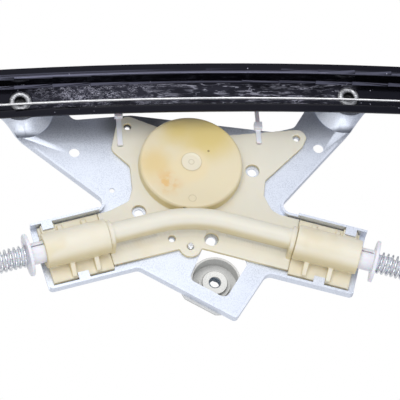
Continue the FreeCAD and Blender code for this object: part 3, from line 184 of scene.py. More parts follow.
def zincSheet(name="zincSheet", pale="#d9dfeb", dull="#bec5d3", edge="#5f646e", low=0.34, high=0.46,
              metal=0.7):
    look = {"fleck": "#a0a7b6", "corner": "#3b3a3a", "grain": 0.8, "cloud": 9.0, "scratch": 2.2,
            "foldShade": (0.84, 0.93), "wall": (0.3, 0.45), "foldShadeEnd": (24 * mm, 27 * mm),
            "railShadeBand": (12, 48, 9), "railShadeRise": (22 * mm, 30 * mm), "railShadeShare": 0.75}
    material, tree, shader = newMaterial(name, Metallic=metal)
    grain = noiseOf(tree, look["grain"], detail=3, rough=0.6)
    cloud = noiseOf(tree, look["cloud"], detail=2)
    scratch = noiseOf(tree, look["scratch"], (6, 1, 0.35), detail=2)
    colour = mixTones(tree, ramp(tree, grain, 0.36, 0.6), tone(dull), tone(pale))
    colour = mixTones(tree, ramp(tree, cloud, 0.3, 0.75, 0.55, 0.1), colour, tone(pale))
    colour = mixTones(tree, ramp(tree, grain, 0.66, 0.76, 0, 0.45), colour, tone(look["fleck"]))
    # painted shade: slanting faces (bevels, chamfers, cone sides) away from the rail are mixed toward the darker
    # edge tone
    notWall = maths(tree, "SUBTRACT", 1.0, sideOf(tree, *look["wall"]))
    foldShade = maths(tree, "MULTIPLY", sideOf(tree, *look["foldShade"]), notWall)
    foldShade = maths(tree, "MULTIPLY", foldShade, ramp(tree, axisOf(tree, "X"), *look["foldShadeEnd"], 1.0, 0.0))
    colour = mixTones(tree, foldShade, colour, tone(edge))
    # painted shade: the corner colour darkens a strip of sheet next to the rail, where the rail shades it
    corner = maths(tree, "MULTIPLY", bandOf(tree, "Z", *look["railShadeBand"]),
                   ramp(tree, axisOf(tree, "X"), *look["railShadeRise"]))
    corner = maths(tree, "MULTIPLY", corner, look["railShadeShare"])
    colour = mixTones(tree, corner, colour, tone(look["corner"]))
    tree.links.new(colour, shader.inputs["Base Color"])
    tree.links.new(ramp(tree, grain, 0.35, 0.7, low, high), shader.inputs["Roughness"])
    addBump(tree, shader, maths(tree, "ADD", grain, maths(tree, "MULTIPLY", scratch, 0.4)), 0.12, 0.1)
    return material


def blackPaint():
    look = {"paint": "#070709", "greaseAndGlint": "#c9c9d8", "haze": "#26262d", "bend": "#6a6b7a", "gloss": 0.24,
            "web": (34.4, 51.2, 0.6), "span": (-96, 84, 16), "line": 0.04}
    material, tree, shader = newMaterial("blackPaint", Specular_IOR_Level=look["gloss"],
                                         Specular_Tint=tone("#d9daff"))
    web = bandOf(tree, "X", *look["web"])
    span = bandOf(tree, "Z", *look["span"])
    blot = noiseOf(tree, 13, (1, 1, 0.45), detail=3)
    # grease film on the web: real grease haze, roughness and relief, and also where the painted glints go
    greaseAndGlint = maths(tree, "MULTIPLY", maths(tree, "MULTIPLY", web, span),
                 ramp(tree, blot, 0.34, 0.52, 0.12, 1.0))
    long = noiseOf(tree, 2.4, (1, 1, 0.13), detail=4, rough=0.6, twist=0.6)
    short = noiseOf(tree, 1.7, (1, 1, 0.5), detail=3, rough=0.6, twist=1.4)
    toUpper = ramp(tree, axisOf(tree, "Z"), -5 * mm, 45 * mm)
    threads = addNode(tree, "ShaderNodeMix", {0: toUpper, 2: lineOf(tree, long, look["line"]),
                                              3: lineOf(tree, short, look["line"] * 1.3)}).outputs[0]
    gaps = ramp(tree, noiseOf(tree, 3.4, (1, 1, 0.5), detail=2), 0.36, 0.54)
    # painted highlight: grease threads get a whitish glint colour; the grease ridges themselves are real
    greaseGlint = maths(tree, "MULTIPLY", greaseAndGlint, maths(tree, "MULTIPLY", threads, gaps))
    # painted highlight: sparse white glint specks over the whole rail
    glintSpecks = maths(tree, "MULTIPLY", ramp(tree, noiseOf(tree, 1.9, detail=1), 0.77, 0.8), 0.8)
    colour = mixTones(tree, greaseAndGlint, tone(look["paint"]), tone(look["haze"]))
    colour = mixTones(tree, maths(tree, "MAXIMUM", greaseGlint, glintSpecks), colour, tone(look["greaseAndGlint"]))
    face = addNode(tree, "ShaderNodeTexCoord").outputs["Normal"]
    parts = addNode(tree, "ShaderNodeSeparateXYZ", {0: face}).outputs
    # painted highlight: bend faces turned toward -X and -Y get a lighter bend colour and a higher specular level
    bend = maths(tree, "MULTIPLY", ramp(tree, parts["X"], -0.42, -0.62), ramp(tree, parts["X"], -0.96, -0.86))
    bend = maths(tree, "MULTIPLY", bend, ramp(tree, parts["Y"], -0.2, -0.35))
    tree.links.new(ramp(tree, bend, 0, 1, look["gloss"], 1.0), shader.inputs["Specular IOR Level"])
    colour = mixTones(tree, maths(tree, "MULTIPLY", bend, 0.5), colour, tone(look["bend"]))
    tree.links.new(colour, shader.inputs["Base Color"])
    tree.links.new(ramp(tree, greaseAndGlint, 0, 1, 0.14, 0.3), shader.inputs["Roughness"])
    skin = maths(tree, "MULTIPLY", noiseOf(tree, 2.6, detail=2), 0.05)
    addBump(tree, shader, maths(tree, "ADD", skin, maths(tree, "MULTIPLY", greaseAndGlint, threads)), 0.5, 0.4)
    return material


def creamNylon(name, base, warm, pale):
    material, tree, shader = newMaterial(name, Subsurface_Weight=0.2, Subsurface_Scale=0.002,
                                         Subsurface_Radius=(1.0, 0.72, 0.38), Specular_IOR_Level=0.42)
    cloud = noiseOf(tree, 26, detail=2)
    fine = noiseOf(tree, 1.1, detail=3)
    colour = mixTones(tree, ramp(tree, cloud, 0.35, 0.7), tone(base), tone(pale))
    colour = mixTones(tree, ramp(tree, noiseOf(tree, 14, detail=1), 0.56, 0.75, 0, 0.45), colour, tone(warm))
    # painted shade: faces turned side-on to the front (small |normal.y|) are tinted a darker tan
    colour = mixTones(tree, maths(tree, "MULTIPLY", sideOf(tree, 0.2, 0.8), 0.75), colour, tone("#dccb98"))
    return material, tree, shader, colour, fine


def housingNylon():
    disc = {"cream": "#e9ddbc", "wall": "#e4d5a4", "edge": 30.6, "cup": (31.3, 31.8), "line": "#a8946a",
            "hub": (0.4, -0.3), "gate": (-24.2, 1.0), "speck": (7.2, -11.0),
            "front": (-40, -9.6, 0.8), "depth": (-40, -4.6, 0.5),
            "yellow": (((19, -12), 6, 25, "#e2cd88"), ((22, 6), 2, 17, "#e2cd88"), ((-1, 22), 2, 16, "#e6cf98")),
            "blotch": ((-13, 15), 1, 12, "#e6c184"), "pale": ((-3, 1), 7, 14, "#ecdcb4")}
    material, tree, shader, colour, fine = creamNylon("housingNylon", "#e8e4d4", "#e7dcc0", "#ece7d7")
    wobble = noiseOf(tree, 12, detail=2)
    front = bandOf(tree, "Y", *disc["front"])
    cup = maths(tree, "MULTIPLY", bandOf(tree, "Y", *disc["depth"]), spotOf(tree, (0, 0), *disc["cup"]))
    inside = maths(tree, "MULTIPLY", front, spotOf(tree, (0, 0), disc["edge"], disc["edge"] + 0.6))
    dyed = tone(disc["cream"])
    for centre, inner, outer, dye in disc["yellow"]:
        dyed = mixTones(tree, spotOf(tree, centre, inner, outer, wobble), dyed, tone(dye))
    centre, inner, outer, dye = disc["blotch"]
    blotch = maths(tree, "MULTIPLY", spotOf(tree, centre, inner, outer, wobble),
                   ramp(tree, noiseOf(tree, 5), 0.4, 0.6, 0.35, 1))
    dyed = mixTones(tree, blotch, dyed, tone(dye))
    centre, inner, outer, dye = disc["pale"]
    dyed = mixTones(tree, spotOf(tree, centre, inner, outer, wobble), dyed, tone(dye))
    dyed = mixTones(tree, spotOf(tree, disc["hub"], 5.7, 6.2), dyed, tone("#ebe3cb"))
    dyed = mixTones(tree, spotOf(tree, disc["speck"], 0.5, 0.9), dyed, tone("#a08a5c"))
    marks = maths(tree, "MAXIMUM", ringOf(tree, disc["hub"], 6.0, 0.4), ringOf(tree, disc["gate"], 2.2, 0.35))
    marks = maths(tree, "MAXIMUM", marks, ringOf(tree, disc["hub"], 1.6, 0.4))
    dyed = mixTones(tree, maths(tree, "MULTIPLY", marks, 0.35), dyed, tone(disc["line"]))
    colour = mixTones(tree, cup, colour, tone(disc["wall"]))
    tree.links.new(mixTones(tree, inside, colour, dyed), shader.inputs["Base Color"])
    tree.links.new(ramp(tree, fine, 0.3, 0.7, 0.34, 0.48), shader.inputs["Roughness"])
    relief = maths(tree, "SUBTRACT", maths(tree, "MULTIPLY", fine, 0.12),
                   maths(tree, "MULTIPLY", marks, inside))
    addBump(tree, shader, relief, 0.5, 0.25)
    return material


def cupNylon():
    material, tree, shader, colour, fine = creamNylon("cupNylon", "#eae2ca", "#e4d8b4", "#eee8d5")
    tree.links.new(colour, shader.inputs["Base Color"])
    tree.links.new(ramp(tree, fine, 0.3, 0.7, 0.34, 0.48), shader.inputs["Roughness"])
    addBump(tree, shader, fine, 0.08, 0.1)
    return material


def milkyNylon():
    material, tree, shader = newMaterial("milkyNylon", Subsurface_Weight=0.25, Subsurface_Scale=0.002,
                                         Specular_IOR_Level=0.5)
    cloud = noiseOf(tree, 5, detail=2)
    fine = noiseOf(tree, 0.8, detail=2)
    tree.links.new(mixTones(tree, cloud, tone("#e9e9f0"), tone("#f5f5f9")), shader.inputs["Base Color"])
    tree.links.new(ramp(tree, fine, 0.3, 0.7, 0.3, 0.42), shader.inputs["Roughness"])
    addBump(tree, shader, fine, 0.06, 0.08)
    return material


def platedSteel(name, dark, light, stained, low, high, shade=None):
    material, tree, shader = newMaterial(name, Metallic=1.0)
    fine = noiseOf(tree, 0.6, (1, 1, 0.4), detail=3)
    stain = noiseOf(tree, 4, detail=2)
    colour = mixTones(tree, ramp(tree, fine, 0.35, 0.65), tone(dark), tone(light))
    colour = mixTones(tree, ramp(tree, stain, 0.58, 0.72, 0, 0.4), colour, tone(stained))
    if shade:
        inShade = maths(tree, "MULTIPLY", bandOf(tree, "Y", *shade), 0.9)
        colour = mixTones(tree, inShade, colour, tone("#141416"))
    tree.links.new(colour, shader.inputs["Base Color"])
    tree.links.new(ramp(tree, fine, 0.3, 0.7, low, high), shader.inputs["Roughness"])
    addBump(tree, shader, fine, 0.15, 0.06)
    return material


def darkPlastic(name, base, lift, low, high):
    material, tree, shader = newMaterial(name, Specular_IOR_Level=0.45)
    fine = noiseOf(tree, 0.7, detail=4, rough=0.7)
    cloud = noiseOf(tree, 11, detail=2)
    colour = mixTones(tree, ramp(tree, cloud, 0.3, 0.7), tone(base), tone(lift))
    tree.links.new(colour, shader.inputs["Base Color"])
    tree.links.new(ramp(tree, fine, 0.3, 0.7, low, high), shader.inputs["Roughness"])
    addBump(tree, shader, fine, 0.3, 0.08)
    return material


looks = {"zinc": zincSheet(), "paint": blackPaint(), "housing": housingNylon(), "cup": cupNylon(),
         "milky": milkyNylon(),
         "steel": platedSteel("brightSteel", "#b9bcc2", "#e4e6ea", "#8d8f94", 0.2, 0.36),
         "cable": platedSteel("cableSteel", "#dcdde0", "#fbfbfc", "#c4c5c9", 0.3, 0.45),
         "dish": zincSheet("dishSteel", "#d4d4d1", "#bcbcb9", "#8f8f8c", 0.4, 0.55, 0.25),
         "nut": zincSheet("nutSteel", "#f0f0ec", "#dcdcd6", "#8a8a86", 0.4, 0.55, 0.1),
         # painted shade: the nut's thread is coloured dark to stand for the shade inside its bore
         "thread": platedSteel("shadedThreadSteel", "#4a5562", "#7c8792", "#30373f", 0.2, 0.35),
         "flare": platedSteel("flaredSteel", "#7f8186", "#dcdde0", "#3c3d40", 0.35, 0.6, (-12.1, -9.0, 0.3)),
         "grey": darkPlastic("greyNylon", "#2a2a2c", "#343437", 0.42, 0.6),
         "black": darkPlastic("conduitCover", "#0f0f11", "#17171a", 0.35, 0.5),
         "rubber": darkPlastic("stopRubber", "#101010", "#191919", 0.6, 0.8)}
print("materials made:", len(looks))


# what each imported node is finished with
slotLooks = {"galvanised_steel": "zinc", "black_steel": "paint", "bright_steel": "steel",
             "cable_steel": "cable", "cream_nylon": "cup", "white_nylon": "milky", "grey_nylon": "grey",
             "black_liner": "black", "stop_rubber": "rubber"}
slotOf = {part["node"]: part["material_slot"] for part in frame["record"]["subparts"]}
bodyOf = {node: body for body, nodes in frame["record"]["behaviour"]["bodies"].items() for node in nodes}


def finishIn(piece, look):
    piece.data.materials.clear()
    piece.data.materials.append(looks[look])


for nodeName, nodeObject in frame["nodes"].items():
    look = "housing" if nodeName == "drum_housing" else slotLooks[slotOf[nodeName]]
    finishIn(nodeObject, look)


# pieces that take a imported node's place
limits = {"merge": 2e-6, "flat": 0.6, "sharp": 28, "grownSharp": 40, "rivetSharp": 50}


def mergedCopy(nodeName, name):
    mesh = frame["nodes"][nodeName].data.copy()
    mesh.name = name
    shape = bmesh.new()
    shape.from_mesh(mesh)
    bmesh.ops.remove_doubles(shape, verts=shape.verts, dist=limits["merge"])
    bmesh.ops.dissolve_limit(shape, angle_limit=math.radians(limits["flat"]), verts=shape.verts,
                             edges=shape.edges)
    shape.to_mesh(mesh)
    shape.free()
    if mesh.has_custom_normals:
        mesh.attributes.remove(mesh.attributes["custom_normal"])
    piece = bpy.data.objects.new(name, mesh)
    bpy.context.scene.collection.objects.link(piece)
    return piece


def settled(piece, sharpAngle=None):
    seen = piece.evaluated_get(bpy.context.evaluated_depsgraph_get())
    mesh = bpy.data.meshes.new_from_object(seen)
    piece.modifiers.clear()
    piece.data = mesh
    mesh.polygons.foreach_set("use_smooth", [True] * len(mesh.polygons))
    if sharpAngle:
        mesh.set_sharp_from_angle(angle=math.radians(sharpAngle))
    return piece


def standFor(piece, nodeName, look=None):
    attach(piece, bodyOf[nodeName])
    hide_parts(nodeName)
    finishIn(piece, look or slotLooks[slotOf[nodeName]])
    return piece


def softMoulding(nodeName, name, voxel, rounds, look=None):
    piece = mergedCopy(nodeName, name)
    remesh = piece.modifiers.new("skin", "REMESH")
    remesh.mode = "VOXEL"
    remesh.voxel_size = voxel * mm
    smooth = piece.modifiers.new("soften", "SMOOTH")
    smooth.factor = 0.5
    smooth.iterations = rounds
    standFor(settled(piece), nodeName, look)
    print("moulding", name, len(piece.data.polygons))
    return piece


def addBevel(piece, width, angle):
    bevel = piece.modifiers.new("edges", "BEVEL")
    bevel.width = width * mm
    bevel.segments = 1
    bevel.limit_method = "ANGLE"
    bevel.angle_limit = math.radians(angle)


def softEdges(nodeName, name, width, angle=32, look=None):
    piece = mergedCopy(nodeName, name)
    addBevel(piece, width, angle)
    standFor(settled(piece, limits["sharp"]), nodeName, look)
    print("edges", name, len(piece.data.polygons))


# cable ridge: its lower side is drawn in under the middle, along two straight runs and the bend between them
ridge = {"radius": 6.0, "height": 14.0, "bend": 80.0, "stem": 2.6, "foot": 4.3, "ends": (50.5, 60.6),
         "vertex": (-35.8, 2.3), "angles": (13.8, 17.4)}


def ridgeOffset(x, z):
    up, down = (math.radians(angle) for angle in ridge["angles"])
    run = ridge["bend"] * math.tan((up + down) / 2)
    centre = (ridge["vertex"][0] - run * math.sin(up) - ridge["bend"] * math.cos(up),
              ridge["vertex"][1] + run * math.cos(up) - ridge["bend"] * math.sin(up))
    dx, dz = x - centre[0], z - centre[1]
    angle = math.atan2(dz, dx)
    if -down <= angle <= up:
        return math.hypot(dx, dz) - ridge["bend"]
    turn, sign = (up, 1) if angle > up else (down, -1)
    px, pz = x - ridge["vertex"][0], sign * (z - ridge["vertex"][1])
    along = -px * math.sin(turn) + pz * math.cos(turn)
    if along > ridge["ends"][0 if sign > 0 else 1]:
        return None
    return px * math.cos(turn) + pz * math.sin(turn)


def roundRidge(mesh):
    up, down = (math.radians(angle) for angle in ridge["angles"])
    for vertex in mesh.vertices:
        x, y, z = vertex.co / mm
        height = -y
        if not ridge["foot"] < height < ridge["height"]:
            continue
        off = ridgeOffset(x, z)
        if off is None or not -ridge["radius"] - 0.5 < off < -0.2:
            continue
        below = ridge["height"] - height
        wide = max(ridge["stem"], math.sqrt(max(0.0, ridge["radius"] ** 2 - below ** 2)))
        change = off * (wide / ridge["radius"] - 1)
        slope = -up if z > ridge["vertex"][1] else down
        vertex.co.x += change * math.cos(slope) * mm
        vertex.co.z -= change * math.sin(slope) * mm


housing = softMoulding("drum_housing", "drumHousing", 0.5, 5, "housing")
roundRidge(housing.data)
for side in ("upper", "lower"):
    softMoulding(side + "_spring_cup", side + "SpringCup", 0.45, 6)
    softMoulding(side + "_conduit_bush", side + "ConduitBush", 0.35, 3)
    softMoulding(side + "_deflector", side + "Deflector", 0.5, 5)
    softEdges(side + "_cable_tie", side + "CableTie", 0.3)
    softEdges(side + "_deflector_cover", side + "DeflectorCover", 0.3)
softMoulding("glass_carrier", "glassCarrier", 0.7, 4)
softEdges("drum_plate", "drumPlate", 0.4)
softEdges("guide_rail", "guideRail", 0.25, angle=50)
softEdges("clamp_plate", "clampPlate", 0.4)


# rear bracket: its rim is cut away inside the plate's window, except at the dish
bracket = {"centre": (-72.8, -10.0), "dish": 14.9,
           "window": ((-43, -5.5), (-61.8, -34), (-88.5, -15.6), (-73, 9)),
           "front": -1.0, "rear": 1.35, "round": 64, "edge": 0.3}


def prismOf(name, corners, front, rear):
    shape = bmesh.new()
    ring = [shape.verts.new(Vector((x, rear, z)) * mm) for x, z in corners]
    side = bmesh.ops.extrude_face_region(shape, geom=[shape.faces.new(ring)])["geom"]
    bmesh.ops.translate(shape, verts=[v for v in side if isinstance(v, bmesh.types.BMVert)],
                        vec=(0, (front - rear) * mm, 0))
    bmesh.ops.recalc_face_normals(shape, faces=shape.faces)
    mesh = bpy.data.meshes.new(name)
    shape.to_mesh(mesh)
    shape.free()
    made = bpy.data.objects.new(name, mesh)
    bpy.context.scene.collection.objects.link(made)
    return made


def cutBy(piece, cutter):
    knife = piece.modifiers.new("cut", "BOOLEAN")
    knife.operation = "DIFFERENCE"
    knife.solver = "EXACT"
    knife.object = cutter
    settled(piece, limits["sharp"])
    bpy.data.objects.remove(cutter)


def makeRearBracket():
    x, z = bracket["centre"]
    turn = 2 * math.pi / bracket["round"]
    ring = [(x + bracket["dish"] * math.cos(i * turn), z + bracket["dish"] * math.sin(i * turn))
            for i in range(bracket["round"])]
    opening = prismOf("windowCutter", bracket["window"], bracket["front"], bracket["rear"])
    cutBy(opening, prismOf("dishCutter", ring, bracket["front"] - 1, bracket["rear"] + 1))
    piece = mergedCopy("rear_bracket", "rearBracket")
    cutBy(piece, opening)
    addBevel(piece, bracket["edge"], 40)
    standFor(settled(piece, limits["sharp"]), "rear_bracket", "dish")
    print("rear bracket", len(piece.data.polygons))


makeRearBracket()


# geometry trees: named inputs in, plain mesh out
def newTree(name, inputs):
    tree = bpy.data.node_groups.new(name, "GeometryNodeTree")
    tree.interface.new_socket("Geometry", in_out="INPUT", socket_type="NodeSocketGeometry")
    for label, value in inputs.items():
        kind = "NodeSocketInt" if isinstance(value, int) else "NodeSocketFloat"
        tree.interface.new_socket(label, in_out="INPUT", socket_type=kind).default_value = value
    tree.interface.new_socket("Geometry", in_out="OUTPUT", socket_type="NodeSocketGeometry")
    return tree, tree.nodes.new("NodeGroupInput").outputs


def endTree(tree, geometry, look):
    whole = addNode(tree, "GeometryNodeRealizeInstances", {0: geometry}).outputs[0]
    dressed = addNode(tree, "GeometryNodeSetMaterial",
                      {"Geometry": whole, "Material": looks[look]}).outputs[0]
    output = tree.nodes.new("NodeGroupOutput")
    tree.links.new(dressed, output.inputs[0])


def grown(tree, name, values, base=None):
    mesh = base or bpy.data.meshes.new(name)
    piece = bpy.data.objects.new(name, mesh)
    bpy.context.scene.collection.objects.link(piece)
    maker = piece.modifiers.new("maker", "NODES")
    maker.node_group = tree
    for socket in tree.interface.items_tree:
        if socket.in_out == "INPUT" and socket.name in values:
            maker[socket.identifier] = values[socket.name]
    settled(piece, limits["grownSharp"])
    print("grown", name, len(piece.data.polygons))
    return piece


# where the cable tubes lie: the same sizes as the CAD's own
tubes = {"vertex": (-35.8, 2.3), "height": 12.0, "upper": {"angle": 13.8, "reach": 92.6},
         "lower": {"angle": 17.4, "reach": 103.1}}


def tubeMatrix(side, along):
    facts = tubes[side]
    turn = math.radians(-facts["angle"] if side == "upper" else facts["angle"])
    flip = Matrix.Identity(4) if side == "upper" else Matrix.Rotation(math.pi, 4, "X")
    shift = Matrix.Translation(Vector((tubes["vertex"][0], -tubes["height"], tubes["vertex"][1])) * mm)
    return shift @ Matrix.Rotation(turn, 4, "Y") @ flip @ Matrix.Translation((0, 0, along * mm))


def circleOf(tree, sides, radius):
    return addNode(tree, "GeometryNodeCurvePrimitiveCircle",
                   {"Resolution": sides, "Radius": radius}).outputs[0]


def sweptAlong(tree, line, section):
    return addNode(tree, "GeometryNodeCurveToMesh",
                   {"Curve": line, "Profile Curve": section, "Fill Caps": True}).outputs[0]


def steppedLine(tree, given):
    line = addNode(tree, "GeometryNodeMeshToCurve", {0: given["Geometry"]}).outputs[0]
    return addNode(tree, "GeometryNodeResampleCurve", {"Curve": line, "Length": given["Step"]},
                   mode="LENGTH").outputs[0]


# springs at the conduits' ends
spring = {"radius": 6.05, "wire": 0.65, "sides": 10, "turns": 13.0, "length": 36.7, "past": 8.95, "round": 26}


def springTree():
    tree, given = newTree("coilSpring", {"Radius": 1.0, "Wire": 1.0, "Turns": 1.0, "Length": 1.0,
                                         "Round": 20})
    coil = addNode(tree, "GeometryNodeCurveSpiral",
                   {"Resolution": given["Round"], "Rotations": given["Turns"], "Height": given["Length"],
                    "Start Radius": given["Radius"], "End Radius": given["Radius"]}).outputs[0]
    endTree(tree, sweptAlong(tree, coil, circleOf(tree, spring["sides"], given["Wire"])), "steel")
    return tree


coilSpring = springTree()
for side in ("upper", "lower"):
    piece = grown(coilSpring, side + "Spring",
                  {"Radius": spring["radius"] * mm, "Wire": spring["wire"] * mm, "Turns": spring["turns"],
                   "Length": spring["length"] * mm, "Round": spring["round"]})
    piece.data.transform(tubeMatrix(side, tubes[side]["reach"] + spring["past"]))
    standFor(piece, side + "_tension_spring")


# drive cable: strands laid round the outer run of the cable's path
rail = {"radius": 1300.0, "stand": 14.5, "gauge": 1.2, "middle": 42.6}
cable = {"stand": 4.2, "offset": 4.2, "pitch": 16.0, "pulley": 238.0, "rest": -183.0, "carrier": 32.3,
         "strands": 6, "lay": 6.6, "core": 0.7, "lobe": 0.15, "step": 0.55, "round": 24, "socket": -2.8,
         "bendSteps": 16, "runSteps": 60}


def railPoint(side, x, height, z, seat):
    centre = rail["radius"] - rail["stand"]
    tilt = math.asin(seat / rail["radius"])
    y = -height - centre
    sign = 1 if side == "upper" else -1
    return Vector((x, centre + y * math.cos(tilt) + z * math.sin(tilt),
                   sign * (z * math.cos(tilt) - y * math.sin(tilt)))) * mm


def outerPath(side):
    level = rail["stand"] + rail["gauge"] + cable["stand"]
    x = rail["middle"] - cable["offset"]
    hub = x - cable["pitch"]
    seat = cable["pulley"]
    path = [railPoint(side, cable["socket"], level, cable["pitch"], seat)]
    for step in range(cable["bendSteps"] + 1):
        angle = math.pi / 2 * step / cable["bendSteps"]
        path.append(railPoint(side, hub + cable["pitch"] * math.sin(angle), level,
                              cable["pitch"] * math.cos(angle), seat))
    sign = 1 if side == "upper" else -1
    far = -(rail["radius"] - rail["stand"]) - level
    seatAngle = math.asin(seat / rail["radius"])
    restAngle = math.asin(sign * cable["rest"] / rail["radius"])
    restAngle += math.atan(cable["carrier"] / rail["radius"])
    for step in range(1, cable["runSteps"] + 1):
        angle = seatAngle + (restAngle - seatAngle) * step / cable["runSteps"]
        path.append(Vector((x, rail["radius"] - rail["stand"] + far * math.cos(angle),
                            -sign * far * math.sin(angle))) * mm)
    return path


def lineMesh(name, path):
    mesh = bpy.data.meshes.new(name)
    mesh.from_pydata(path, [(i, i + 1) for i in range(len(path) - 1)], [])
    return mesh


def ropeTree():
    tree, given = newTree("strandedRope", {"Core": 1.0, "Lobe": 1.0, "Strands": 6, "Lay": 1.0, "Step": 1.0})
    line = steppedLine(tree, given)
    along = addNode(tree, "GeometryNodeSplineParameter").outputs["Length"]
    twist = maths(tree, "MULTIPLY", maths(tree, "DIVIDE", along, given["Lay"]), 2 * math.pi)
    line = addNode(tree, "GeometryNodeSetCurveTilt", {"Curve": line, "Tilt": twist}).outputs[0]
    ring = circleOf(tree, cable["round"], given["Core"])
    number = addNode(tree, "GeometryNodeInputIndex").outputs[0]
    wave = maths(tree, "MULTIPLY", maths(tree, "MULTIPLY", number, given["Strands"]),
                 2 * math.pi / cable["round"])
    bulge = maths(tree, "ABSOLUTE", maths(tree, "SINE", maths(tree, "MULTIPLY", wave, 0.5)))
    place = addNode(tree, "GeometryNodeInputPosition").outputs[0]
    out = addNode(tree, "ShaderNodeVectorMath", {0: place}, operation="NORMALIZE").outputs[0]
    rise = maths(tree, "MULTIPLY", bulge, given["Lobe"])
    lift = addNode(tree, "ShaderNodeVectorMath", {0: out, "Scale": rise}, operation="SCALE").outputs[0]
    ring = addNode(tree, "GeometryNodeSetPosition", {"Geometry": ring, "Offset": lift}).outputs[0]
    endTree(tree, sweptAlong(tree, line, ring), "cable")
    return tree


strandedRope = ropeTree()
for side in ("upper", "lower"):
    piece = grown(strandedRope, side + "DriveCable",
                  {"Core": cable["core"] * mm, "Lobe": cable["lobe"] * mm, "Strands": cable["strands"],
                   "Lay": cable["lay"] * mm, "Step": cable["step"] * mm},
                  lineMesh(side + "CableLine", outerPath(side)))
    standFor(piece, side + "_cable")


# conduits: a smooth round cover along straight runs and bends
conduit = {"radius": 3.2, "step": 1.2, "start": 4.1, "end": -3.0, "tail": 46.0, "lead": 0.411,
           "shares": (0.59, 0.77), "round": 20,
           "seat": {"upper": 138.9, "lower": 149.4}}


def roundedPath(points, shares, perBend=22):
    path = [points[0]]
    for before, corner, after, share in zip(points, points[1:], points[2:], shares):
        trim = share * min((before - corner).length, (after - corner).length)
        back, ahead = (before - corner).normalized(), (after - corner).normalized()
        half = back.angle(ahead) / 2
        radius = trim * math.tan(half)
        middle = corner + (back + ahead).normalized() * (radius / math.sin(half))
        start = (corner + back * trim - middle).normalized()
        end = (corner + ahead * trim - middle).normalized()
        for step in range(perBend + 1):
            path.append(middle + start.slerp(end, step / perBend) * radius)
    path.append(points[-1])
    return path


def conduitPath(side):
    def tubePoint(along):
        return tubeMatrix(side, along) @ Vector((0, 0, 0))
    start = tubePoint(conduit["seat"][side] + conduit["start"])
    level = rail["stand"] + rail["gauge"] + cable["stand"]
    end = railPoint(side, conduit["end"], level, cable["pitch"], cable["pulley"])
    corner = end - Vector((conduit["tail"] * mm, 0, 0))
    run = conduit["lead"] * (corner - start).length / mm
    lead = tubePoint(conduit["seat"][side] + conduit["start"] + run)
    return roundedPath([start, lead, corner, end], conduit["shares"])


def tubeTree():
    tree, given = newTree("roundTube", {"Radius": 1.0, "Step": 1.0, "Round": 20})
    ring = circleOf(tree, given["Round"], given["Radius"])
    endTree(tree, sweptAlong(tree, steppedLine(tree, given), ring), "black")
    return tree


roundTube = tubeTree()
for side in ("upper", "lower"):
    piece = grown(roundTube, side + "Conduit",
                  {"Radius": conduit["radius"] * mm, "Step": conduit["step"] * mm, "Round": conduit["round"]},
                  lineMesh(side + "ConduitLine", conduitPath(side)))
    standFor(piece, side + "_conduit")


# tubular rivets that hold the plate's ears to the rail: one turned profile, set on both seats
rivet = {"z": 100.0, "front": 15.75, "axle": 0.000001, "round": 44, "rough": 0.7, "backRough": 0.05,
         "grain": 520.0,
         "profile": ((0.05, -2.3), (1.3, -2.2), (1.5, -1.9), (1.55, -2.5), (3.0, -2.6), (3.1, -0.4),
                     (3.5, 0.9), (4.4, 1.5), (5.5, 1.45), (6.3, 0.8), (6.8, 0.15), (6.4, 0.02), (4.4, 0.02)),
         "back": ((4.4, -3.05), (7.6, -3.05), (7.6, -4.2), (0.05, -4.3))}


def turnedTree():
    tree, given = newTree("turnedRing", {"Round": 40, "Rough": 1.0, "Grain": 1.0, "Seed": 3.0})
    line = addNode(tree, "GeometryNodeMeshToCurve", {0: given["Geometry"]}).outputs[0]
    ring = circleOf(tree, given["Round"], rivet["axle"])
    body = addNode(tree, "GeometryNodeCurveToMesh", {"Curve": ring, "Profile Curve": line}).outputs[0]
    spread = addNode(tree, "ShaderNodeTexNoise", {"Scale": given["Grain"], "Detail": 3.0, "W": given["Seed"]},
                     noise_dimensions="4D").outputs["Color"]
    away = addNode(tree, "ShaderNodeVectorMath", {0: spread, 1: (0.5, 0.5, 0.5)},
                   operation="SUBTRACT").outputs[0]
    push = addNode(tree, "ShaderNodeVectorMath", {0: away, "Scale": given["Rough"]},
                   operation="SCALE").outputs[0]
    body = addNode(tree, "GeometryNodeSetPosition", {"Geometry": body, "Offset": push}).outputs[0]
    endTree(tree, body, "flare")
    return tree


def rivetSeat(side):
    centre = rail["radius"] - rail["stand"]
    tilt = math.asin(rivet["z"] / rail["radius"]) * (1 if side == "upper" else -1)
    seat = Vector((rail["middle"], centre * (1 - math.cos(tilt)), centre * math.sin(tilt)))
    shift = Matrix.Translation(seat * mm)
    stand = Matrix.Translation((0, -rivet["front"] * mm, 0))
    return shift @ Matrix.Rotation(-tilt, 4, "X") @ stand @ Matrix.Rotation(math.pi / 2, 4, "X")


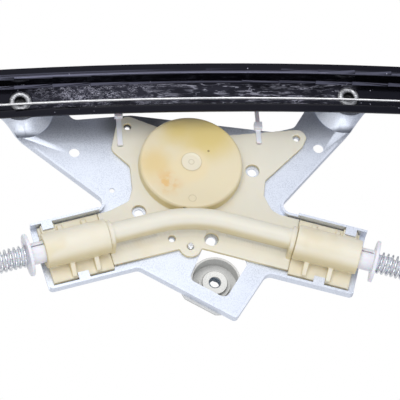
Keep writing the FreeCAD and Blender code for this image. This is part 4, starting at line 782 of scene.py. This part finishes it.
def makeRivets():
    tree = turnedTree()
    whole = bmesh.new()
    for number, side in enumerate(("upper", "lower")):
        for profile, rough in (("profile", rivet["rough"]), ("back", rivet["backRough"])):
            line = lineMesh("rivetLine", [Vector((r, -h, 0)) * mm for r, h in rivet[profile]])
            piece = grown(tree, side + "Rivet", {"Round": rivet["round"], "Rough": rough * mm,
                                                 "Grain": rivet["grain"], "Seed": 3.0 + number}, line)
            piece.data.transform(rivetSeat(side))
            whole.from_mesh(piece.data)
            bpy.data.objects.remove(piece)
    bmesh.ops.remove_doubles(whole, verts=whole.verts, dist=limits["merge"])
    bmesh.ops.recalc_face_normals(whole, faces=whole.faces)
    mesh = bpy.data.meshes.new("railRivets")
    whole.to_mesh(mesh)
    whole.free()
    rivets = bpy.data.objects.new("railRivets", mesh)
    bpy.context.scene.collection.objects.link(rivets)
    mesh.polygons.foreach_set("use_smooth", [True] * len(mesh.polygons))
    mesh.set_sharp_from_angle(angle=math.radians(limits["rivetSharp"]))
    standFor(rivets, "rail_rivets", "flare")
    corners = [Vector(c) / mm for c in rivets.bound_box]
    print("rivets", [round(min(c[i] for c in corners), 1) for i in range(3)],
          [round(max(c[i] for c in corners), 1) for i in range(3)])


makeRivets()


# thread in the weld nut, as a helix just inside its bore, coloured dark as painted shade inside the bore
thread = {"centre": (-72.8, -10.0), "from": 3.3, "radius": 3.22, "wire": 0.3, "pitch": 1.0, "turns": 5.0,
          "round": 28}


def makeThread():
    piece = grown(coilSpring, "nutThread", {"Radius": thread["radius"] * mm, "Wire": thread["wire"] * mm,
                                            "Turns": thread["turns"], "Round": thread["round"],
                                            "Length": thread["turns"] * thread["pitch"] * mm})
    x, z = thread["centre"]
    shift = Matrix.Translation(Vector((x, thread["from"], z)) * mm)
    piece.data.transform(shift @ Matrix.Rotation(-math.pi / 2, 4, "X"))
    softEdges("weld_nut", "weldNut", 0.3, look="nut")
    finishIn(piece, "thread")
    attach(piece, bodyOf["weld_nut"])


makeThread()
print("trees made")


# floor, lamps and backdrop
stage = {"size": 1.0, "y": -0.12, "drop": 4, "grain": 30, "tones": ("#f1f1f2", "#f7f7f8"),
         "fill": "#f4f6ff", "fillPower": 0.55}


def makeStage():
    under = cadBox[0].z - stage["drop"] * mm
    bpy.ops.mesh.primitive_plane_add(size=stage["size"], location=(0, stage["y"], under))
    floor = bpy.context.object
    floor.name = "floor"
    material, tree, shader = newMaterial("floorPaper", Roughness=0.9)
    speck = noiseOf(tree, stage["grain"], detail=2)
    paper = mixTones(tree, speck, *(tone(text) for text in stage["tones"]))
    tree.links.new(paper, shader.inputs["Base Color"])
    floor.data.materials.append(material)
    world = bpy.data.worlds.new("studio")
    bpy.context.scene.world = world
    world.use_nodes = True
    tree = world.node_tree
    tree.nodes.clear()
    path = addNode(tree, "ShaderNodeLightPath")
    seen = maths(tree, "MAXIMUM", path.outputs["Is Camera Ray"], path.outputs["Is Glossy Ray"])
    seen = maths(tree, "MAXIMUM", seen, path.outputs["Is Transmission Ray"])
    glow = addNode(tree, "ShaderNodeBackground", {"Color": (1, 1, 1, 1), "Strength": 1.0})
    fill = addNode(tree, "ShaderNodeBackground", {"Color": tone(stage["fill"]), "Strength": stage["fillPower"]})
    both = addNode(tree, "ShaderNodeMixShader", {0: seen, 1: fill.outputs[0], 2: glow.outputs[0]})
    addNode(tree, "ShaderNodeOutputWorld", {"Surface": both.outputs[0]})


lamps = {"key": {"place": (0.08, -1.75, 0.4), "size": (1.1, 1.1), "power": 14.0},
         "fill": {"place": (-0.3, -1.4, -0.9), "size": (1.0, 1.0), "power": 3.5},
         "line": {"place": (-1.1, -0.42, 0.0), "size": (0.25, 1.0), "power": 2.5}}


def makeLamps():
    for name, facts in lamps.items():
        data = bpy.data.lights.new(name, "AREA")
        data.shape = "RECTANGLE"
        data.size, data.size_y = facts["size"]
        data.energy = facts["power"]
        lamp = bpy.data.objects.new(name, data)
        bpy.context.scene.collection.objects.link(lamp)
        lamp.location = facts["place"]
        lamp.rotation_euler = Vector(facts["place"]).to_track_quat("Z", "Y").to_euler()


makeStage()
makeLamps()
bpy.context.scene.view_settings.view_transform = "Standard"
